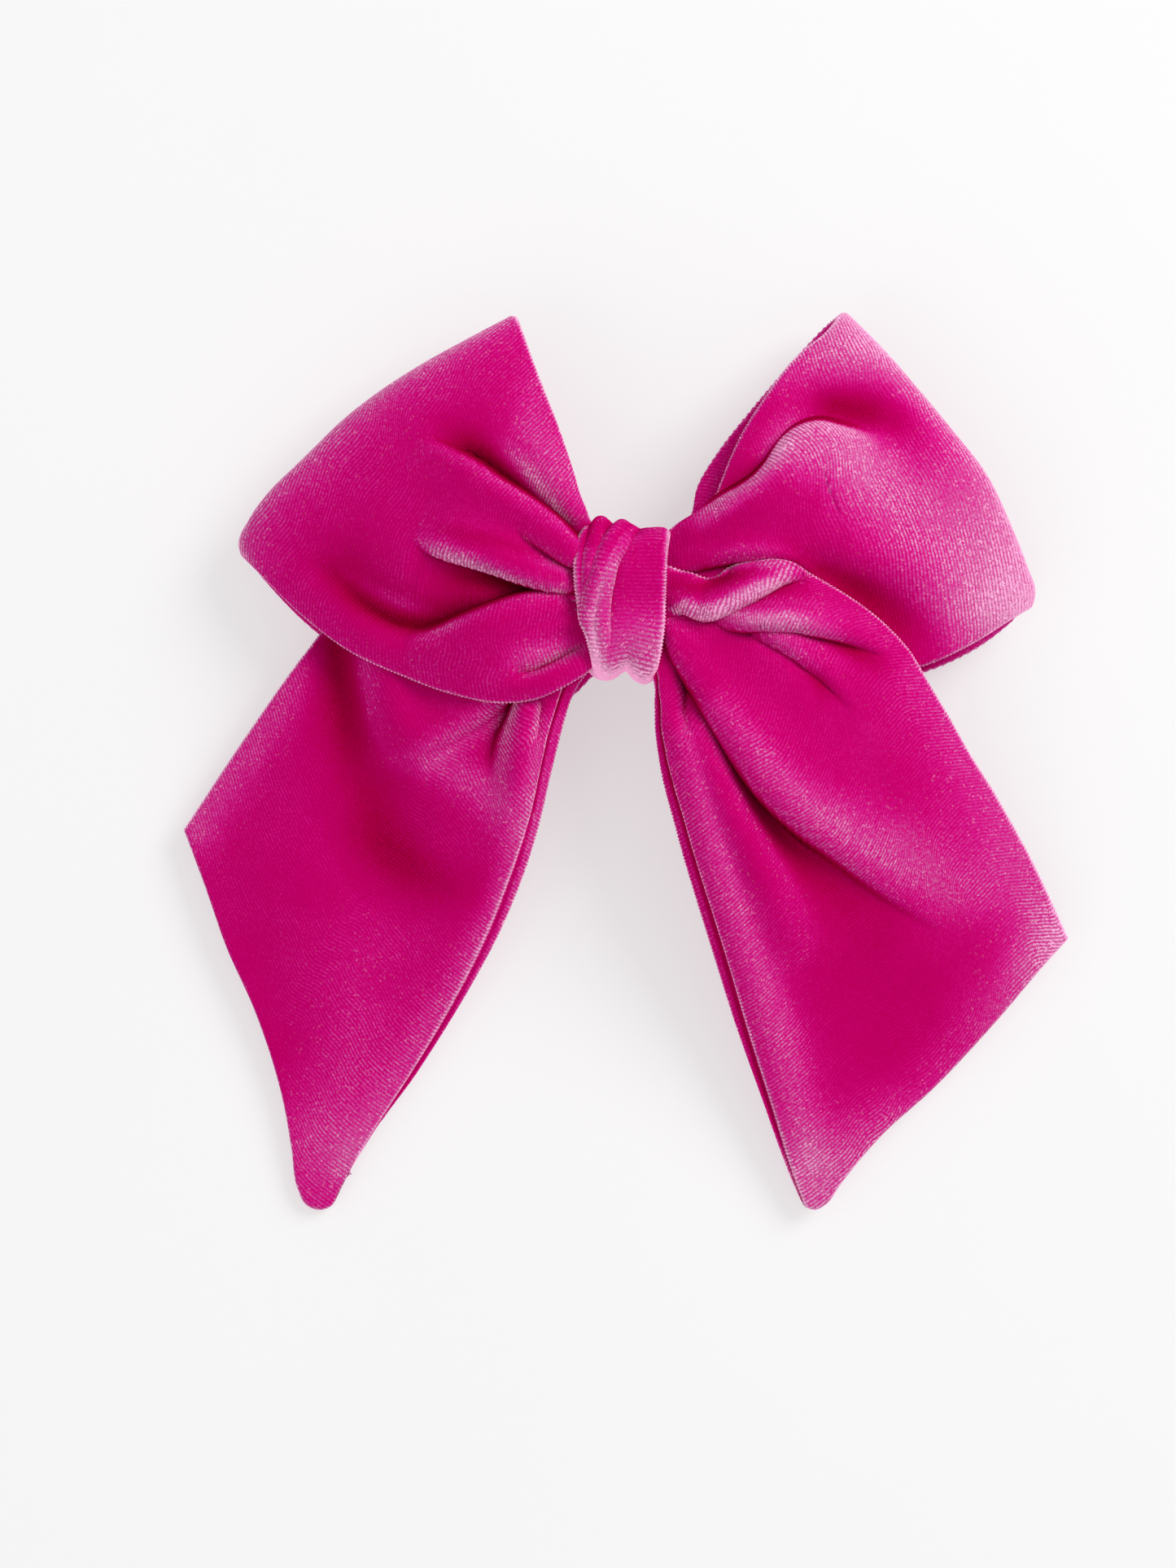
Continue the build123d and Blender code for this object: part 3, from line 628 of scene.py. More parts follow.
RIGHT_TAIL_PAINTED_TONES = [
    ridge([(33, -104), (50, -89), (64, -74), (76, -59)], [0.72, 0.45, 0.42, 0.6], [9, 7, 7, 6]),
    ridge([(53, -14), (62, -30), (70, -44), (76, -57)], [0.25, 0.35, 0.45, 0.5], [6, 8, 9]),
    ridge(
        [
            (16.7, -17.4), (20.9, -23.2), (26.6, -30.6), (32.9, -36.8), (40.8, -41.8), (50, -46.8),
            (60, -51),
        ],
        [0.2, 0.4, 0.5, 0.55, 0.5, 0.4, 0.25], [1.6, 2.4, 4, 6, 7, 8], [1, 1.2, 1.6, 2.6, 4, 5],
    ),
    ridge(
        [(11, -24), (15, -38), (20, -54), (27, -76), (32, -96)],
        [0.3, 0.45, 0.4, 0.4, 0.5], [2.4, 3, 3.6, 4],
    ),
    ridge(
        [(8.6, -1.2), (11, -0.3), (14.2, -1.1), (16.6, -0.4), (19, 0.8), (23.8, 3.1), (28.3, 4.9)],
        [0.6, 0.9, 1.1, 1.1, 1.1, 1.0, 0.5], 0.45,
    ),
    ridge([(9, 2.2), (14, 1.4), (18, 2.8), (23, 5)], [-0.2, -0.35, -0.35, -0.2], 1.5),
    ridge([(19, -1.0), (24, 0.6), (29, 1.6), (34, 0)], [-0.2, -0.3, -0.2, 0], 1.8),
    ridge(
        [(16.5, -2.2), (21, -2.8), (25, -2.7), (30, -2.8), (34, -3.8), (38, -5.2)],
        [0.3, 0.75, 0.9, 0.8, 0.4, 0.1], [0.4, 0.5, 0.7, 0.9], [0.4, 0.5, 0.6, 1.0],
    ),
    ridge([(24.8, -5.4), (28, -6.8), (31, -8.8), (34, -11.4)], [0.3, 0.4, 0.3, 0.1], 0.7),
    ridge([(33, -5.6), (37, -7.4), (42, -10), (48, -13)], [-0.4, -0.45, -0.25, 0], [1.2, 1.6, 2.2]),
    ridge([(30.6, -10.4), (33, -13.2), (36, -18)], [-0.3, -0.35, 0], [1.0, 1.4, 2]),
    ridge([(13.4, 4.6), (15.2, 3.9), (16.6, 4.2)], -0.5, 0.6),
    ridge([(19, 5.4), (24, 5.6), (29, 5.6)], [0.2, 0.3, 0.3], 0.9),
    ridge(
        [(10.6, -12.8), (13.4, -17.6), (17.0, -23.8), (20.6, -30.6), (25.4, -38.2), (31, -44.6)],
        [-0.3, -0.5, -0.5, -0.35, -0.22, -0.1], [0.9, 1.2, 1.8, 2.8, 4, 5.5],
    ),
    ridge([(9.8, -11.5), (10.6, -16.1), (10.4, -20.5)], [-0.5, -0.7, -0.3], 0.6),
]
KNOT_PAINTED_TONES = [
    ridge(
        [(0.2, 10.4), (-1.9, 7.8), (-3.3, 4.6), (-4.2, 1.6), (-4.8, -2), (-4.9, -6), (-4.2, -12)],
        [0.0, 0.4, 0.8, 1.05, 1.15, 1.1, 0.9], [0.5, 0.6, 0.8, 0.9, 1.1, 1.5],
    ),
    ridge([(-5.2, -12.6), (-2.4, -12.9), (0.6, -12.4), (3.4, -13.4), (6.4, -14)], 1.35, 2.4),
    ridge([(-6, 11.5), (0, 12), (7, 11.6)], [-0.25, -0.3, -0.2], 2.4),
    ridge([(-1, -7), (3, -7.4), (7, -8)], [0.4, 0.5, 0.6], 4.6),
    ridge([(0.5, 8), (2, 0), (2, -10)], [0.06, 0.12, 0.2], 5),
    ridge([(8.4, 5), (8.0, 0), (7.4, -8), (6.6, -13)], [0.2, 0.4, 0.6, 0.7], 1.3),
    ridge([(-8.8, 8), (-9.0, 2), (-8.2, -2), (-6.6, -7)], [0.3, 0.45, 0.5, 0.6], 1.0),
    ridge([(-5.6, 8), (-6.2, 2), (-6.4, -3)], [0.2, 0.35, 0.3], 0.6),
]


def loop(name, arc, front_edges, back_edges, front_z, back_z, folds, painted_tones, crown, material, pleat):
    """A loop of the strip: front ply, rounded fold and back ply in one sheet."""
    rows, bend_rows, back_rows, cols = 224, 22, 90, 136
    bend = 0.055  # share of the loop's length taken by the fold
    vs = across_steps(cols)
    run = np.linspace(0, 1 - bend, rows)
    turn = np.linspace(math.pi / 2, -math.pi / 2, bend_rows + 2)[1:-1]
    us = 1 - bend + bend * np.cos(turn)
    start = [(0, GATHER), (0, -GATHER)]
    inset = HALF_PLY + 0.1
    arc = [(x - inset * x / math.hypot(x, y), y - inset * y / math.hypot(x, y)) for x, y in arc]

    def ply(edges, u):
        upper_edge, lower_edge = edges[0][:-1] + arc[:1], edges[1][:-1] + arc[-1:]
        return patch(upper_edge, lower_edge, start, arc, u, vs)

    def heights(xy, profile, folded):
        z = from_knot(xy, profile)
        across = 2 * vs[None, :] - 1
        r = np.hypot(xy[..., 0], xy[..., 1])
        z = z - crown * across**4 * np.clip(r / 30, 0, 1)
        shift = np.zeros(xy.shape)
        if folded:
            rise, shift, _ = fold(xy, folds)
            away = np.clip((r - 6) / 6, 0, 1)
            z = z + rise * away
            shift = shift * away[..., None]
        return z + pleats(xy, pleat[0], pleat[1], pleat[2], pleat[3]), shift

    front = ply(front_edges, run)
    back = ply(back_edges, np.linspace(0, 1 - bend, back_rows))
    zf, shift = heights(front, front_z, True)
    zb, _ = heights(back, back_z, False)
    share = ((1 - np.sin(turn)) / 2)[:, None, None]
    bend_xy = ply(front_edges, us) * (1 - share) + ply(back_edges, us) * share
    middle, half = (zf[-1] + zb[-1]) / 2, (zf[-1] - zb[-1]) / 2
    bend_z = middle[None] + half[None] * np.sin(turn)[:, None]
    sheet = np.concatenate(
        [
            np.concatenate([front + shift, zf[..., None]], axis=-1),
            np.concatenate([bend_xy, bend_z[..., None]], axis=-1),
            np.concatenate([back, zb[..., None]], axis=-1)[::-1],
        ]
    )
    sheet = eased(sheet, rows, 34)
    # painted light and shade: strokes and fold shading on the front ply, fainter on the bend and the back ply
    painted_light = np.concatenate(
        [
            painted_light_and_shade(front, painted_tones) + fold_highlight_and_shade(front, folds),
            painted_light_and_shade(bend_xy, painted_tones) * (1 - 0.5 * share[..., 0]),
            0.4 * painted_light_and_shade(back, painted_tones)[::-1] + 0.1,
        ]
    )
    # painted sheen along both edges is added here
    return tube(name, seen(sheet), material, painted_light + rim_sheen(sheet))


def eased(sheet, row, reach):
    """Rounds off the crease where two parts of a sheet meet at one row."""
    soft = sheet.copy()
    for _ in range(90):
        soft[1:-1] = (soft[:-2] + 2 * soft[1:-1] + soft[2:]) / 4
    share = np.exp(-(((np.arange(len(sheet)) - row) / (reach / 2)) ** 2))[:, None, None]
    return sheet + (soft - sheet) * share


def painted_light_and_shade(xy, painted_tones):
    """Painted light and shade that a list of soft strokes gives the pile."""
    return fold(xy, painted_tones)[0] if painted_tones else np.zeros(xy.shape[:-1])


def fold_highlight_and_shade(xy, folds):
    """Painted light and shade that the folds give the pile: painted highlight along crests, painted shade on
    walls and at the bottoms.
    """
    rise, _, painted_light = fold(xy, folds)
    return painted_light - HOLLOW_SHADE * np.clip(-rise - 0.15, 0, HOLLOW_DEPTH)


def rim_sheen(sheet):
    """Painted sheen: the paler line along both edges of the strip, where the pile stands out sideways."""
    return RIM_SHEEN * np.exp(-((np.minimum(*edge_gaps(sheet)) / RIM_REACH) ** 2))


def tail(name, outer, inner, end, profile, folds, painted_tones, crown, material, pleat, seam):
    """A tail of the strip, from the knot to its slanting cut end."""
    rows, cols = 336, 142
    vs = across_steps(cols)
    us = np.linspace(0, 1, rows)
    us = us + 0.05 * np.sin(2 * math.pi * us) / 2
    start = [(0, GATHER), (0, -GATHER)]
    xy = patch(outer, inner, start, end, us, vs)
    z = from_knot(xy, profile)
    r = np.hypot(xy[..., 0], xy[..., 1])
    across = 2 * vs[None, :] - 1
    z = z - crown * across**4 * np.clip(r / 30, 0, 1) * np.clip((110 - r) / 60, 0, 1)
    rise, shift, _ = fold(xy, folds)
    away = np.clip((r - 6) / 6, 0, 1)
    z = z + rise * away + pleats(xy, *pleat)
    z = np.maximum(z, HALF_PLY + 0.1)
    sheet = np.concatenate([xy + shift * away[..., None], z[..., None]], axis=-1)
    _, gap = edge_gaps(sheet)
    offset = along(seam, np.clip((r - 15) / 90, 0, 1))
    beside = gap - offset
    groove = -SEAM_DEPTH * np.exp(-((beside / SEAM_HALF_WIDTH) ** 2)) - SEAM_STEP / (1 + np.exp(beside / 0.2))
    groove = groove * np.clip(gap, 0, 1) * np.clip((r - 12) / 8, 0, 1)
    # painted light and shade from strokes and folds, and painted sheen along the edges
    painted_light = painted_light_and_shade(xy, painted_tones) + fold_highlight_and_shade(xy, folds) + rim_sheen(sheet)
    # painted highlight just beside the seam on the broad side, painted shade on the lower narrow side beyond
    # it
    painted_light += 0.35 * np.exp(-(((beside - 0.55) / 0.5) ** 2))
    painted_light -= 0.45 * np.exp(-(((beside + 0.35) / 0.4) ** 2))
    return tube(name, seen(sheet), material, painted_light, relief=groove, ends=True)


# ---- The knot's wrap -------------------------------------------------------------------------
def knot(material):
    """The pleated band round the bow and the clip's bar."""
    rows, cols = 240, 170
    low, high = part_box("knot_wrap")
    base = low[2] / MM - TABLE_Z
    top = high[2] / MM - TABLE_Z - 1.2
    path = [
        (0, top), (6, top - 0.15), (9.2, top - 1.6), (10.8, top - 4.4), (11.0, top - 7.4), (9.6, base + 4.2),
        (7.2, base + 1.9), (5.4, base + 1.35), (0, base + 1.35),
    ]
    ring = [(-y, z) for y, z in reversed(path)] + path[1:]
    line = curve(ring, rows)
    y, z = line[:, 0], line[:, 1]
    s = np.linspace(-1, 1, cols)
    left = hermite(y, [-11, -9, -6, -1.7, 2.5, 6.1, 9, 11], [-5.0, -5.5, -6.4, -7.6, -8.5, -8.5, -7.8, -6.4])
    right = hermite(y, [-11, -9, -5, 1.8, 8.9, 11], [5.0, 6.0, 7.0, 7.4, 7.7, 8.0])
    above = np.clip((z - 16) / 5, 0, 1)
    left = left * above - 7.0 * (1 - above)
    right = right * above + 7.0 * (1 - above)
    x = left[:, None] + (right - left)[:, None] * (s[None] + 1) / 2
    reach_up = hermite(x, [-7, -2.6, 1.3, 6.9, 9], [14.7, 13.9, 13.0, 12.9, 12.5])
    reach_down = hermite(x, [-5.6, -2.7, -0.8, 0.9, 3, 5.7], [13.9, 13.9, 13.1, 12.9, 14.0, 15.3])
    stretch = (np.where(y[:, None] > 0, reach_up, reach_down) - HALF_PLY - 0.5) / 11.0
    lift = above[:, None]
    yy = y[:, None] * (stretch * lift + 1 - lift)
    sheet = np.stack([x, yy, np.broadcast_to(z[:, None], x.shape)], axis=-1)
    n = normals(sheet)
    if n[rows // 2, cols // 2, 2] < 0:
        n = -n
    plan = sheet[..., :2]
    rise, shift, _ = fold(plan, KNOT_FOLDS)
    relief = (0.3 + rise) * lift + (1 - lift) * 0.08 * np.sin(2.2 * x)
    # painted light and shade from strokes and folds on the wrap's front; painted sheen along its edges is
    # added below
    painted_light = (painted_light_and_shade(plan, KNOT_PAINTED_TONES) + fold_highlight_and_shade(plan, KNOT_FOLDS)) * lift
    outer = sheet + n * relief[..., None]
    outer[..., :2] += shift * lift[..., None]
    u = lengths(sheet[:, cols // 2 : cols // 2 + 1])
    return tube("knot_wrap_velvet", seen(outer), material, painted_light + rim_sheen(outer), closed=True, u=u, width=20.0)


# ---- Materials -------------------------------------------------------------------------------
def nodes_of(name):
    """A new node material, its nodes, its links and its Principled shader."""
    material = bpy.data.materials.new(name)
    material.use_nodes = True
    tree = material.node_tree
    return material, tree, tree.nodes["Principled BSDF"]


def add(tree, kind, **settings):
    """A node with its settings and plain input values."""
    node = tree.nodes.new(kind)
    for key, value in settings.items():
        if key in node.inputs:
            node.inputs[key].default_value = value
        else:
            setattr(node, key, value)
    return node


def math_node(tree, operation, a, b=None, clamp=False):
    """A maths node; a and b are sockets or numbers."""
    node = tree.nodes.new("ShaderNodeMath")
    node.operation = operation
    node.use_clamp = clamp
    for i, value in enumerate((a, b)):
        if value is None:
            continue
        if isinstance(value, (int, float)):
            node.inputs[i].default_value = value
        else:
            tree.links.new(value, node.inputs[i])
    return node.outputs[0]


def mix_colour(tree, share, a, b):
    """Mixes two colours by a socket or number."""
    node = tree.nodes.new("ShaderNodeMix")
    node.data_type = "RGBA"
    for socket, value in ((node.inputs[0], share), (node.inputs[6], a), (node.inputs[7], b)):
        if isinstance(value, (int, float)):
            socket.default_value = value
        elif isinstance(value, tuple):
            socket.default_value = value + (1.0,)
        else:
            tree.links.new(value, socket)
    return node.outputs[2]


def velvet():
    """Ribbed stretch velvet: rich where it faces the eye, pale and silky where it turns away, with painted
    light and shade, painted glints and a painted pink glow added.
    """
    material, tree, shader = nodes_of("velvet")
    link = tree.links.new

    def scaled(a, factor, offset=0.0, clamp=False):
        out = math_node(tree, "MULTIPLY_ADD", a, factor, clamp=clamp)
        tree.nodes[-1].inputs[2].default_value = offset
        return out

    uv = add(tree, "ShaderNodeUVMap", uv_map="cloth").outputs[0]
    place = add(tree, "ShaderNodeTexCoord").outputs["Object"]

    # ribs across the strip, broken up by the tufts of pile along them
    ribs = add(tree, "ShaderNodeTexWave", wave_type="BANDS", bands_direction="X", wave_profile="SIN")
    ribs.inputs["Scale"].default_value = 2 * math.pi / RIB / 20
    ribs.inputs["Distortion"].default_value = 0.8
    ribs.inputs["Detail"].default_value = 2
    ribs.inputs["Detail Scale"].default_value = 1.6
    link(uv, ribs.inputs["Vector"])
    tufts = add(tree, "ShaderNodeTexNoise", Scale=2400.0, Detail=2.0, Roughness=0.7)
    link(place, tufts.inputs["Vector"])
    tips = add(tree, "ShaderNodeTexVoronoi", Scale=3600.0, Randomness=1.0)
    link(place, tips.inputs["Vector"])
    tip = add(tree, "ShaderNodeSeparateColor")
    link(tips.outputs["Color"], tip.inputs[0])
    broad = add(tree, "ShaderNodeTexNoise", Scale=70.0, Detail=4.0, Roughness=0.6)
    link(place, broad.inputs["Vector"])

    # the pile is palest where it is seen from the side; painted light and shade from the mesh makes it paler
    # on painted highlights and sheen, darker on painted shade
    facing = add(tree, "ShaderNodeLayerWeight", Blend=0.5).outputs["Facing"]
    painted_light_and_shade = add(tree, "ShaderNodeAttribute", attribute_name="pile").outputs["Fac"]
    # where painted shade lies, the side view pales the pile less
    outside_painted_shade = scaled(painted_light_and_shade, 3.0, 1.0, clamp=True)
    turned = math_node(tree, "MULTIPLY", math_node(tree, "POWER", facing, 1.5), outside_painted_shade)
    patchy = scaled(broad.outputs["Fac"], 0.30, -0.15)
    pale = math_node(tree, "ADD", scaled(turned, 1.5), painted_light_and_shade)
    pale = math_node(tree, "ADD", pale, patchy)

    # ribs and grain show most where the pile is seen from the side and where it is painted pale
    patches = scaled(broad.outputs["Fac"], 3.0, -1.0, clamp=True)
    nap = math_node(tree, "ADD", scaled(turned, 0.8, 0.10), scaled(painted_light_and_shade, 0.5, 0.0, clamp=True), clamp=True)
    shown = math_node(tree, "MULTIPLY", scaled(nap, 1.5, 0.04, clamp=True), scaled(patches, 0.7, 0.3))
    tufted = scaled(tufts.outputs["Fac"], 3.4, -1.1, clamp=True)
    rib = math_node(tree, "MULTIPLY", ribs.outputs["Fac"], tufted)
    relief = math_node(tree, "MULTIPLY", scaled(rib, 2.1, -0.6), shown)
    grain = math_node(tree, "MULTIPLY", scaled(tip.outputs[0], 1.0, -0.5), scaled(nap, 0.7, 0.06))
    pale = math_node(tree, "ADD", math_node(tree, "ADD", pale, relief), grain)

    # colour scale of the velvet: its dark end gives painted shade in creases, its pale end painted sheen
    ramp = add(tree, "ShaderNodeValToRGB")
    stops = ramp.color_ramp.elements
    stops[0].position, stops[0].color = 0.0, (0.20, 0.0, 0.016, 1)
    stops[1].position, stops[1].color = 1.0, (0.64, 0.25, 0.44, 1)
    shades = (
        (0.20, (0.36, 0.0, 0.050)),
        (0.45, (0.50, 0.0003, 0.131)),
        (0.60, (0.575, 0.0094, 0.218)),
        (0.75, (0.575, 0.057, 0.268)),
        (0.88, (0.575, 0.12, 0.33)),
    )
    for position, colour in shades:
        stop = stops.new(position)
        stop.color = colour + (1,)
    share = scaled(pale, 0.5, 0.43, clamp=True)
    link(share, ramp.inputs[0])

    # painted glints: a few pile tips are coloured pale pink as if they catch the light
    painted_glint = math_node(tree, "GREATER_THAN", tip.outputs[1], 0.975)
    painted_glint = math_node(tree, "MULTIPLY", painted_glint, scaled(nap, 1.1, -0.12, clamp=True))
    colour = mix_colour(tree, painted_glint, ramp.outputs[0], (1.0, 0.60, 0.80))
    link(colour, shader.inputs["Base Color"])

    shader.inputs["Roughness"].default_value = 0.9
    shader.inputs["Specular IOR Level"].default_value = 0.0
    # painted glow: the palest pile gives off pink light of its own, a painted sheen
    shader.inputs["Emission Color"].default_value = (1.0, 0.45, 0.72, 1.0)
    link(scaled(scaled(pale, 0.9, -0.95, clamp=True), 0.38), shader.inputs["Emission Strength"])

    height = math_node(tree, "ADD", scaled(tip.outputs[2], 0.5), scaled(rib, 0.7))
    bump = add(tree, "ShaderNodeBump", Strength=0.6, Distance=0.00012)
    link(height, bump.inputs["Height"])
    link(bump.outputs[0], shader.inputs["Normal"])
    return material


def thread():
    """Twisted polyester sewing thread."""
    material, tree, shader = nodes_of("sewing_thread")
    link = tree.links.new
    place = add(tree, "ShaderNodeTexCoord").outputs["Object"]
    twist = add(tree, "ShaderNodeTexWave", wave_type="BANDS", bands_direction="DIAGONAL")
    twist.inputs["Scale"].default_value = 900.0
    twist.inputs["Distortion"].default_value = 1.5
    link(place, twist.inputs["Vector"])
    colour = mix_colour(tree, twist.outputs["Fac"], (0.19, 0.0, 0.05), (0.42, 0.01, 0.15))
    link(colour, shader.inputs["Base Color"])
    shader.inputs["Roughness"].default_value = 0.55
    shader.inputs["Sheen Weight"].default_value = 0.3
    bump = add(tree, "ShaderNodeBump", Strength=0.6, Distance=0.00006)
    link(twist.outputs["Fac"], bump.inputs["Height"])
    link(bump.outputs[0], shader.inputs["Normal"])
    return material


def steel(name, colour, roughness, grain):
    """Nickelled or spring steel: faint drawing lines and uneven polish."""
    material, tree, shader = nodes_of(name)
    link = tree.links.new
    place = add(tree, "ShaderNodeTexCoord").outputs["Object"]
    drawn = add(tree, "ShaderNodeMapping")
    drawn.inputs["Scale"].default_value = (60.0, 2600.0, 2600.0)
    link(place, drawn.inputs["Vector"])
    lines = add(tree, "ShaderNodeTexNoise", Scale=1.0, Detail=4.0, Roughness=0.6)
    link(drawn.outputs[0], lines.inputs["Vector"])
    cloud = add(tree, "ShaderNodeTexNoise", Scale=320.0, Detail=4.0, Roughness=0.65)
    link(place, cloud.inputs["Vector"])
    dull = tuple(c * 0.72 for c in colour)
    link(mix_colour(tree, cloud.outputs["Fac"], dull, colour), shader.inputs["Base Color"])
    shader.inputs["Metallic"].default_value = 1.0
    rough = math_node(tree, "MULTIPLY_ADD", cloud.outputs["Fac"], 0.25)
    tree.nodes[-1].inputs[2].default_value = roughness - 0.1
    link(rough, shader.inputs["Roughness"])
    bump = add(tree, "ShaderNodeBump", Strength=grain, Distance=0.00003)
    link(lines.outputs["Fac"], bump.inputs["Height"])
    link(bump.outputs[0], shader.inputs["Normal"])
    return material


def paper():
    """The pale surface that the bow lies on. It glows a little, so that shadows stay faint."""
    material, tree, shader = nodes_of("pale_surface")
    link = tree.links.new
    place = add(tree, "ShaderNodeTexCoord").outputs["Object"]
    cloud = add(tree, "ShaderNodeTexNoise", Scale=9.0, Detail=3.0)
    link(place, cloud.inputs["Vector"])
    colour = mix_colour(tree, cloud.outputs["Fac"], (0.355, 0.355, 0.36), (0.375, 0.375, 0.375))
    link(colour, shader.inputs["Base Color"])
    shader.inputs["Roughness"].default_value = 0.9
    shader.inputs["Specular IOR Level"].default_value = 0.0
    shader.inputs["Emission Color"].default_value = (0.985, 0.975, 0.98, 1.0)
    shader.inputs["Emission Strength"].default_value = 0.54
    return material


# ---- Build -----------------------------------------------------------------------------------
def build_bow(cloth):
    """The strip's four visible parts and the wrap, all riding with the bow and the bar."""
    left = loop(
        "left_loop_velvet",
        LEFT_ARC,
        front_edges=(
            [
                (0, GATHER), (-5.0, 12.6), (-7.6, 17.6), (-9.3, 23.4), (-11.7, 31), (-15.0, 39.6),
                (-18.9, 50.2),
            ],
            [
                (0, -GATHER), (-5.4, -11.6), (-10.7, -14.9), (-15.5, -17.0), (-20.6, -17.6),
                (-29.2, -16.1), (-37.6, -13.1), (-46.8, -8.9), (-54, -3.6), (-62, 4.2), (-66.8, 8.2),
            ],
        ),
        back_edges=(
            [(0, GATHER), (-6.5, 12), (-10, 20), (-13, 31), (-18.9, 50.2)],
            [
                (0, -GATHER), (-5.4, -13.0), (-9.3, -16.8), (-13.0, -18.9), (-16.2, -20.0),
                (-20, -18.6), (-29.2, -16.9), (-38.2, -13.8), (-47.4, -9.5), (-54.4, -4.1), (-62, 3.9),
                (-66.8, 8.2),
            ],
        ),
        front_z=[(0, 22.7), (9, 22.7), (25, 24.2), (42, 20.6), (58, 15.2), (74, 11.8)],
        back_z=[(0, 17.1), (16, 17.0), (28, 15.5), (42, 12.7), (58, 9.3), (74, 7.4)],
        folds=LEFT_FOLDS,
        painted_tones=LEFT_PAINTED_TONES,
        crown=3.0,
        material=cloth,
        pleat=(9, 0.5, 17, 0.4),
    )
    right = loop(
        "right_loop_velvet",
        RIGHT_ARC,
        front_edges=(
            [
                (0, GATHER), (6, 11.0), (9.6, 12.6), (13.3, 14.5), (15.3, 16.2), (17.4, 21.3),
                (21.1, 29.6), (25.3, 36.2), (28.4, 40.4), (31.5, 43.5), (35.2, 46.3), (38.8, 51.0),
            ],
            [(0, -GATHER), (9, -9.5), (28, -12.6), (51.3, -11.5), (59.6, -7.7), (71.6, -1.0)],
        ),
        back_edges=(
            [
                (0, GATHER), (7, 10.6), (11.9, 14.6), (13.3, 20.2), (16.4, 25.4), (22.1, 32.8),
                (28.9, 40.8), (35.9, 48.2), (38.8, 51.0),
            ],
            [(0, -GATHER), (9, -10), (28, -13.6), (51.6, -12.5), (60.4, -8.6), (71.6, -1.0)],
        ),
        front_z=[(0, 19.9), (9, 19.9), (25, 21.4), (42, 20.4), (58, 16.4), (74, 12.0)],
        back_z=[(0, 17.1), (16, 17.0), (28, 15.2), (42, 12.4), (58, 9.3), (74, 7.4)],
        folds=RIGHT_FOLDS,
        painted_tones=RIGHT_PAINTED_TONES,
        crown=3.0,
        material=cloth,
        pleat=(8, 0.4, 17, 1.0),
    )
    left_tail = tail(
        "left_tail_velvet",
        outer=[
            (0, GATHER), (-20, 7.4), (-38, 6), (-45.9, 2.8), (-52.9, -6.2), (-66.5, -25.4),
            (-76.1, -39.8),
        ],
        inner=[
            (0, -GATHER), (-7.4, -13.4), (-9.3, -16.8), (-10.7, -21.4), (-11.8, -25.7), (-13.0, -30.9),
            (-14.6, -38), (-16.3, -44), (-18.4, -50), (-20.9, -56), (-26.2, -66), (-30.5, -73),
            (-35.2, -80), (-44.1, -93), (-47.5, -99), (-49.4, -102.9),
        ],
        end=[
            (-76.1, -39.8), (-72.3, -50), (-68.8, -60), (-63.9, -71), (-60.6, -80.5), (-58.9, -87),
            (-57.5, -95), (-56.4, -102), (-54.9, -104.8), (-52.4, -105.6), (-50.4, -104.8),
            (-49.4, -102.9),
        ],
        profile=[(0, 19.9), (9, 19.9), (28, 18.6), (42, 15.6), (60, 10.7), (85, 4.9), (120, 1.4)],
        folds=LEFT_TAIL_FOLDS,
        painted_tones=LEFT_TAIL_PAINTED_TONES,
        crown=2.4,
        material=cloth,
        pleat=(9, 0.4, 18, 0.2),
        seam=[3.2, 2.6, 1.9, 1.6, 1.4],
    )
    right_tail = tail(
        "right_tail_velvet",
        outer=[
            (0, GATHER), (5, 6.6), (8.9, 5.6), (10.7, 5.0), (12.8, 4.4), (14.9, 3.9), (16.4, 4.4),
            (18.2, 5.7), (21.4, 6.4), (28.5, 6.5), (33.3, 4.0), (37.7, 1.4),
            (42.2, -1.7), (45.4, -4.4), (49.0, -8.2), (52.6, -14), (56.2, -20), (60.2, -27),
            (63.4, -32), (66.9, -38), (70.2, -44), (77.1, -58.6),
        ],
        inner=[
            (0, -GATHER), (5.0, -12.4), (5.9, -15.1), (5.8, -18.6), (5.9, -23), (6.4, -27), (7.3, -32),
            (8.9, -38), (10.5, -44), (12.3, -50),
            (15.4, -60), (19.5, -73), (24.1, -86), (28.7, -99), (30.6, -103.6),
        ],
        end=[
            (77.1, -58.6), (73.2, -62.9), (64.6, -73.0), (53.0, -85.3), (45.2, -92.3), (37.5, -101.4),
            (35.2, -104.6), (33.2, -105.6), (31.5, -105.0), (30.6, -103.6),
        ],
        profile=[(0, 22.7), (9, 22.7), (28, 24.6), (42, 22.4), (56, 18.4), (82, 9.5), (120, 1.8)],
        folds=RIGHT_TAIL_FOLDS,
        painted_tones=RIGHT_TAIL_PAINTED_TONES,
        crown=2.4,
        material=cloth,
        pleat=(8, 0.3, 18, 0.7),
        seam=[1.7, 2.4, 2.4, 2.0, 1.6],
    )
    for piece in (left, right, left_tail, right_tail):
        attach(piece, "bow_and_bar")
        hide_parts("bow_strip")
    wrap = knot(cloth)
    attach(wrap, "bow_and_bar")
    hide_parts("knot_wrap")


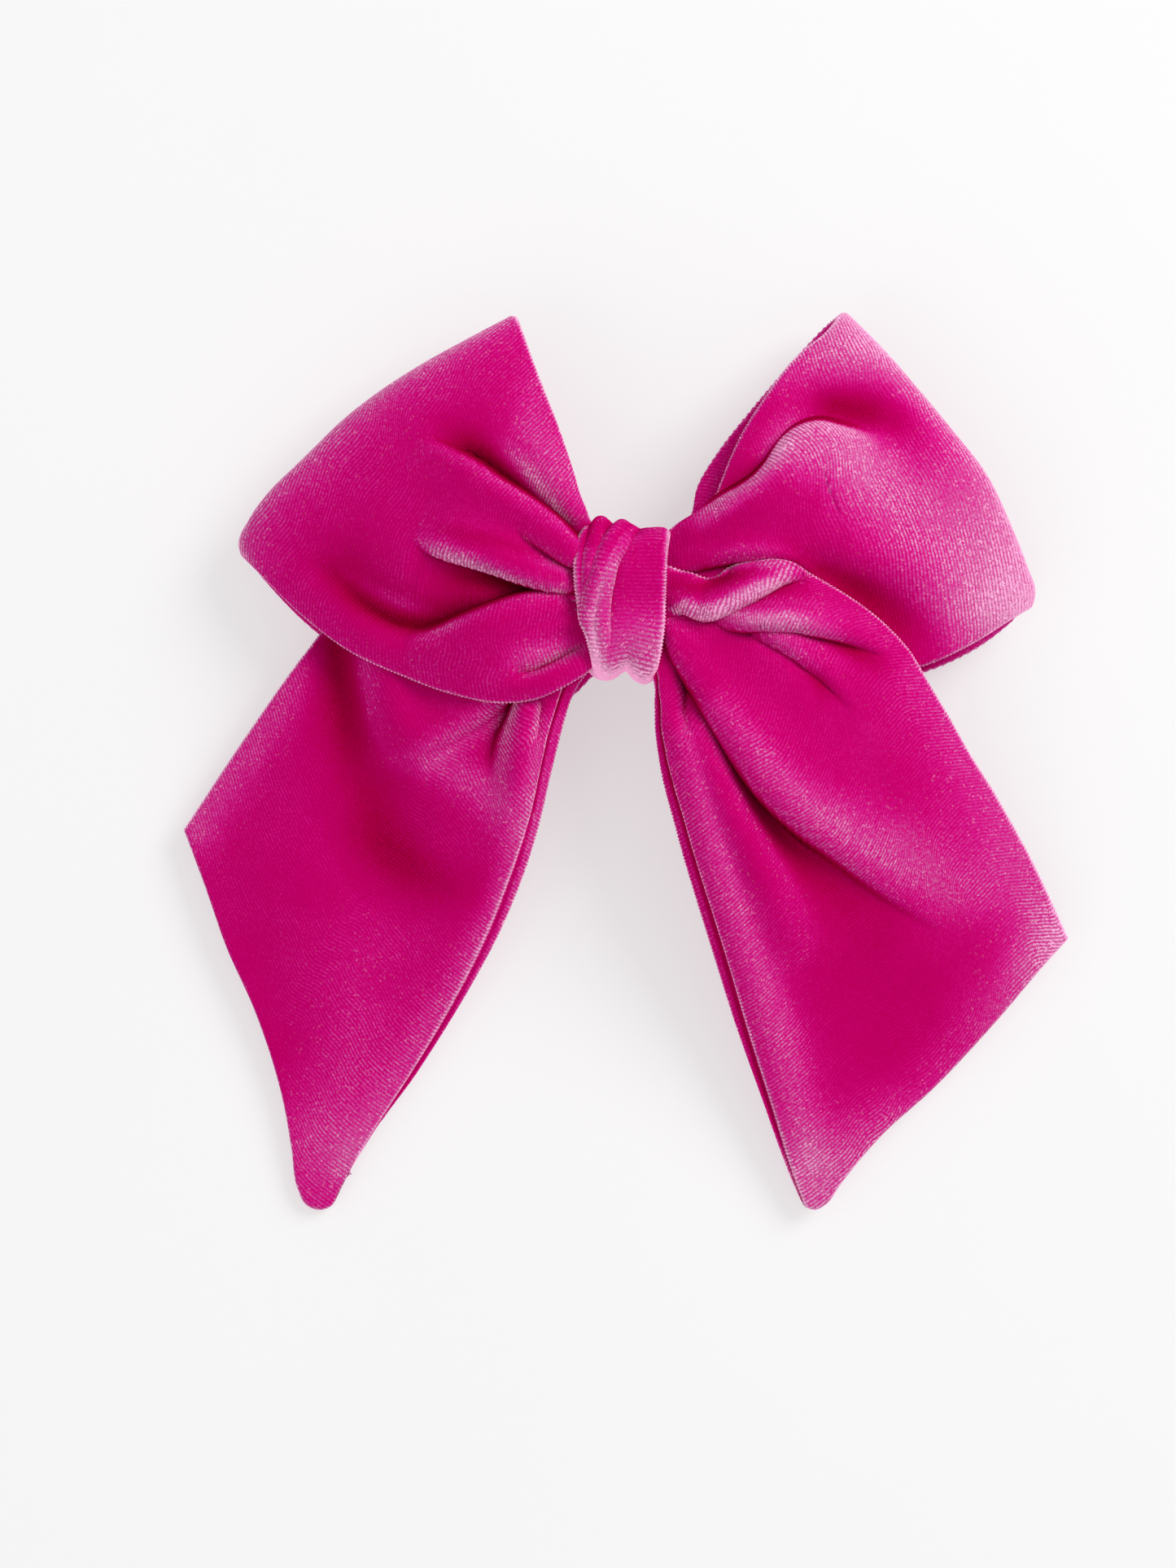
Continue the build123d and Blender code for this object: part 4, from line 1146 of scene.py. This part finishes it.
def dress_frame():
    """Gives each CAD piece that stays its material."""
    made = {
        "nickelled_steel": steel("nickelled_steel", (0.72, 0.71, 0.69), 0.26, 0.35),
        "pin_steel": steel("pin_steel", (0.66, 0.66, 0.66), 0.3, 0.2),
        "spring_steel": steel("spring_steel", (0.52, 0.54, 0.58), 0.34, 0.6),
        "sewing_thread": thread(),
    }
    for part in frame["record"]["subparts"]:
        material = made.get(part["material_slot"])
        if material is None:
            continue
        for slot in frame["nodes"][part["node"]].material_slots:
            slot.material = material


def stage():
    """Pale floor, soft light from the upper right, and the camera straight above."""
    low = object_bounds()[0]
    bpy.ops.mesh.primitive_plane_add(size=FLOOR_SIZE, location=(0, 0, low[2] - 0.00002))
    floor = bpy.context.object
    floor.name = "floor"
    floor.data.materials.append(paper())
    floor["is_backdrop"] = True

    def lamp(name, place, aim, size, power, colour):
        data = bpy.data.lights.new(name, "AREA")
        data.shape, data.size, data.energy, data.color = "DISK", size, power, colour
        obj = bpy.data.objects.new(name, data)
        obj.location = place
        direction = np.array(aim) - np.array(place)
        obj.rotation_euler = Vector(direction).to_track_quat("-Z", "Y").to_euler()
        bpy.context.scene.collection.objects.link(obj)

    lamp("window", (0.75, 0.55, 0.75), (0, 0, 0), 0.7, 10.5, (1.0, 0.99, 0.975))
    lamp("fill", (-0.7, -0.8, 0.8), (0, 0, 0), 1.2, 3.2, (1.0, 0.975, 0.96))
    world = bpy.data.worlds.new("soft_room")
    world.use_nodes = True
    world.node_tree.nodes["Background"].inputs["Color"].default_value = (0.98, 0.98, 0.99, 1.0)
    world.node_tree.nodes["Background"].inputs["Strength"].default_value = 0.66
    scene = bpy.context.scene
    scene.world = world
    scene.view_settings.view_transform = "Standard"

    data = bpy.data.cameras.new("camera")
    data.sensor_fit = "VERTICAL"
    data.angle = 2 * math.atan(FRAME_TALL / 2 / (EYE[2] - EYE_PLANE))
    camera = bpy.data.objects.new("camera", data)
    camera.location = np.array(EYE) * MM + (0, 0, low[2])
    scene.collection.objects.link(camera)
    scene.camera = camera


build_bow(velvet())
dress_frame()
stage()
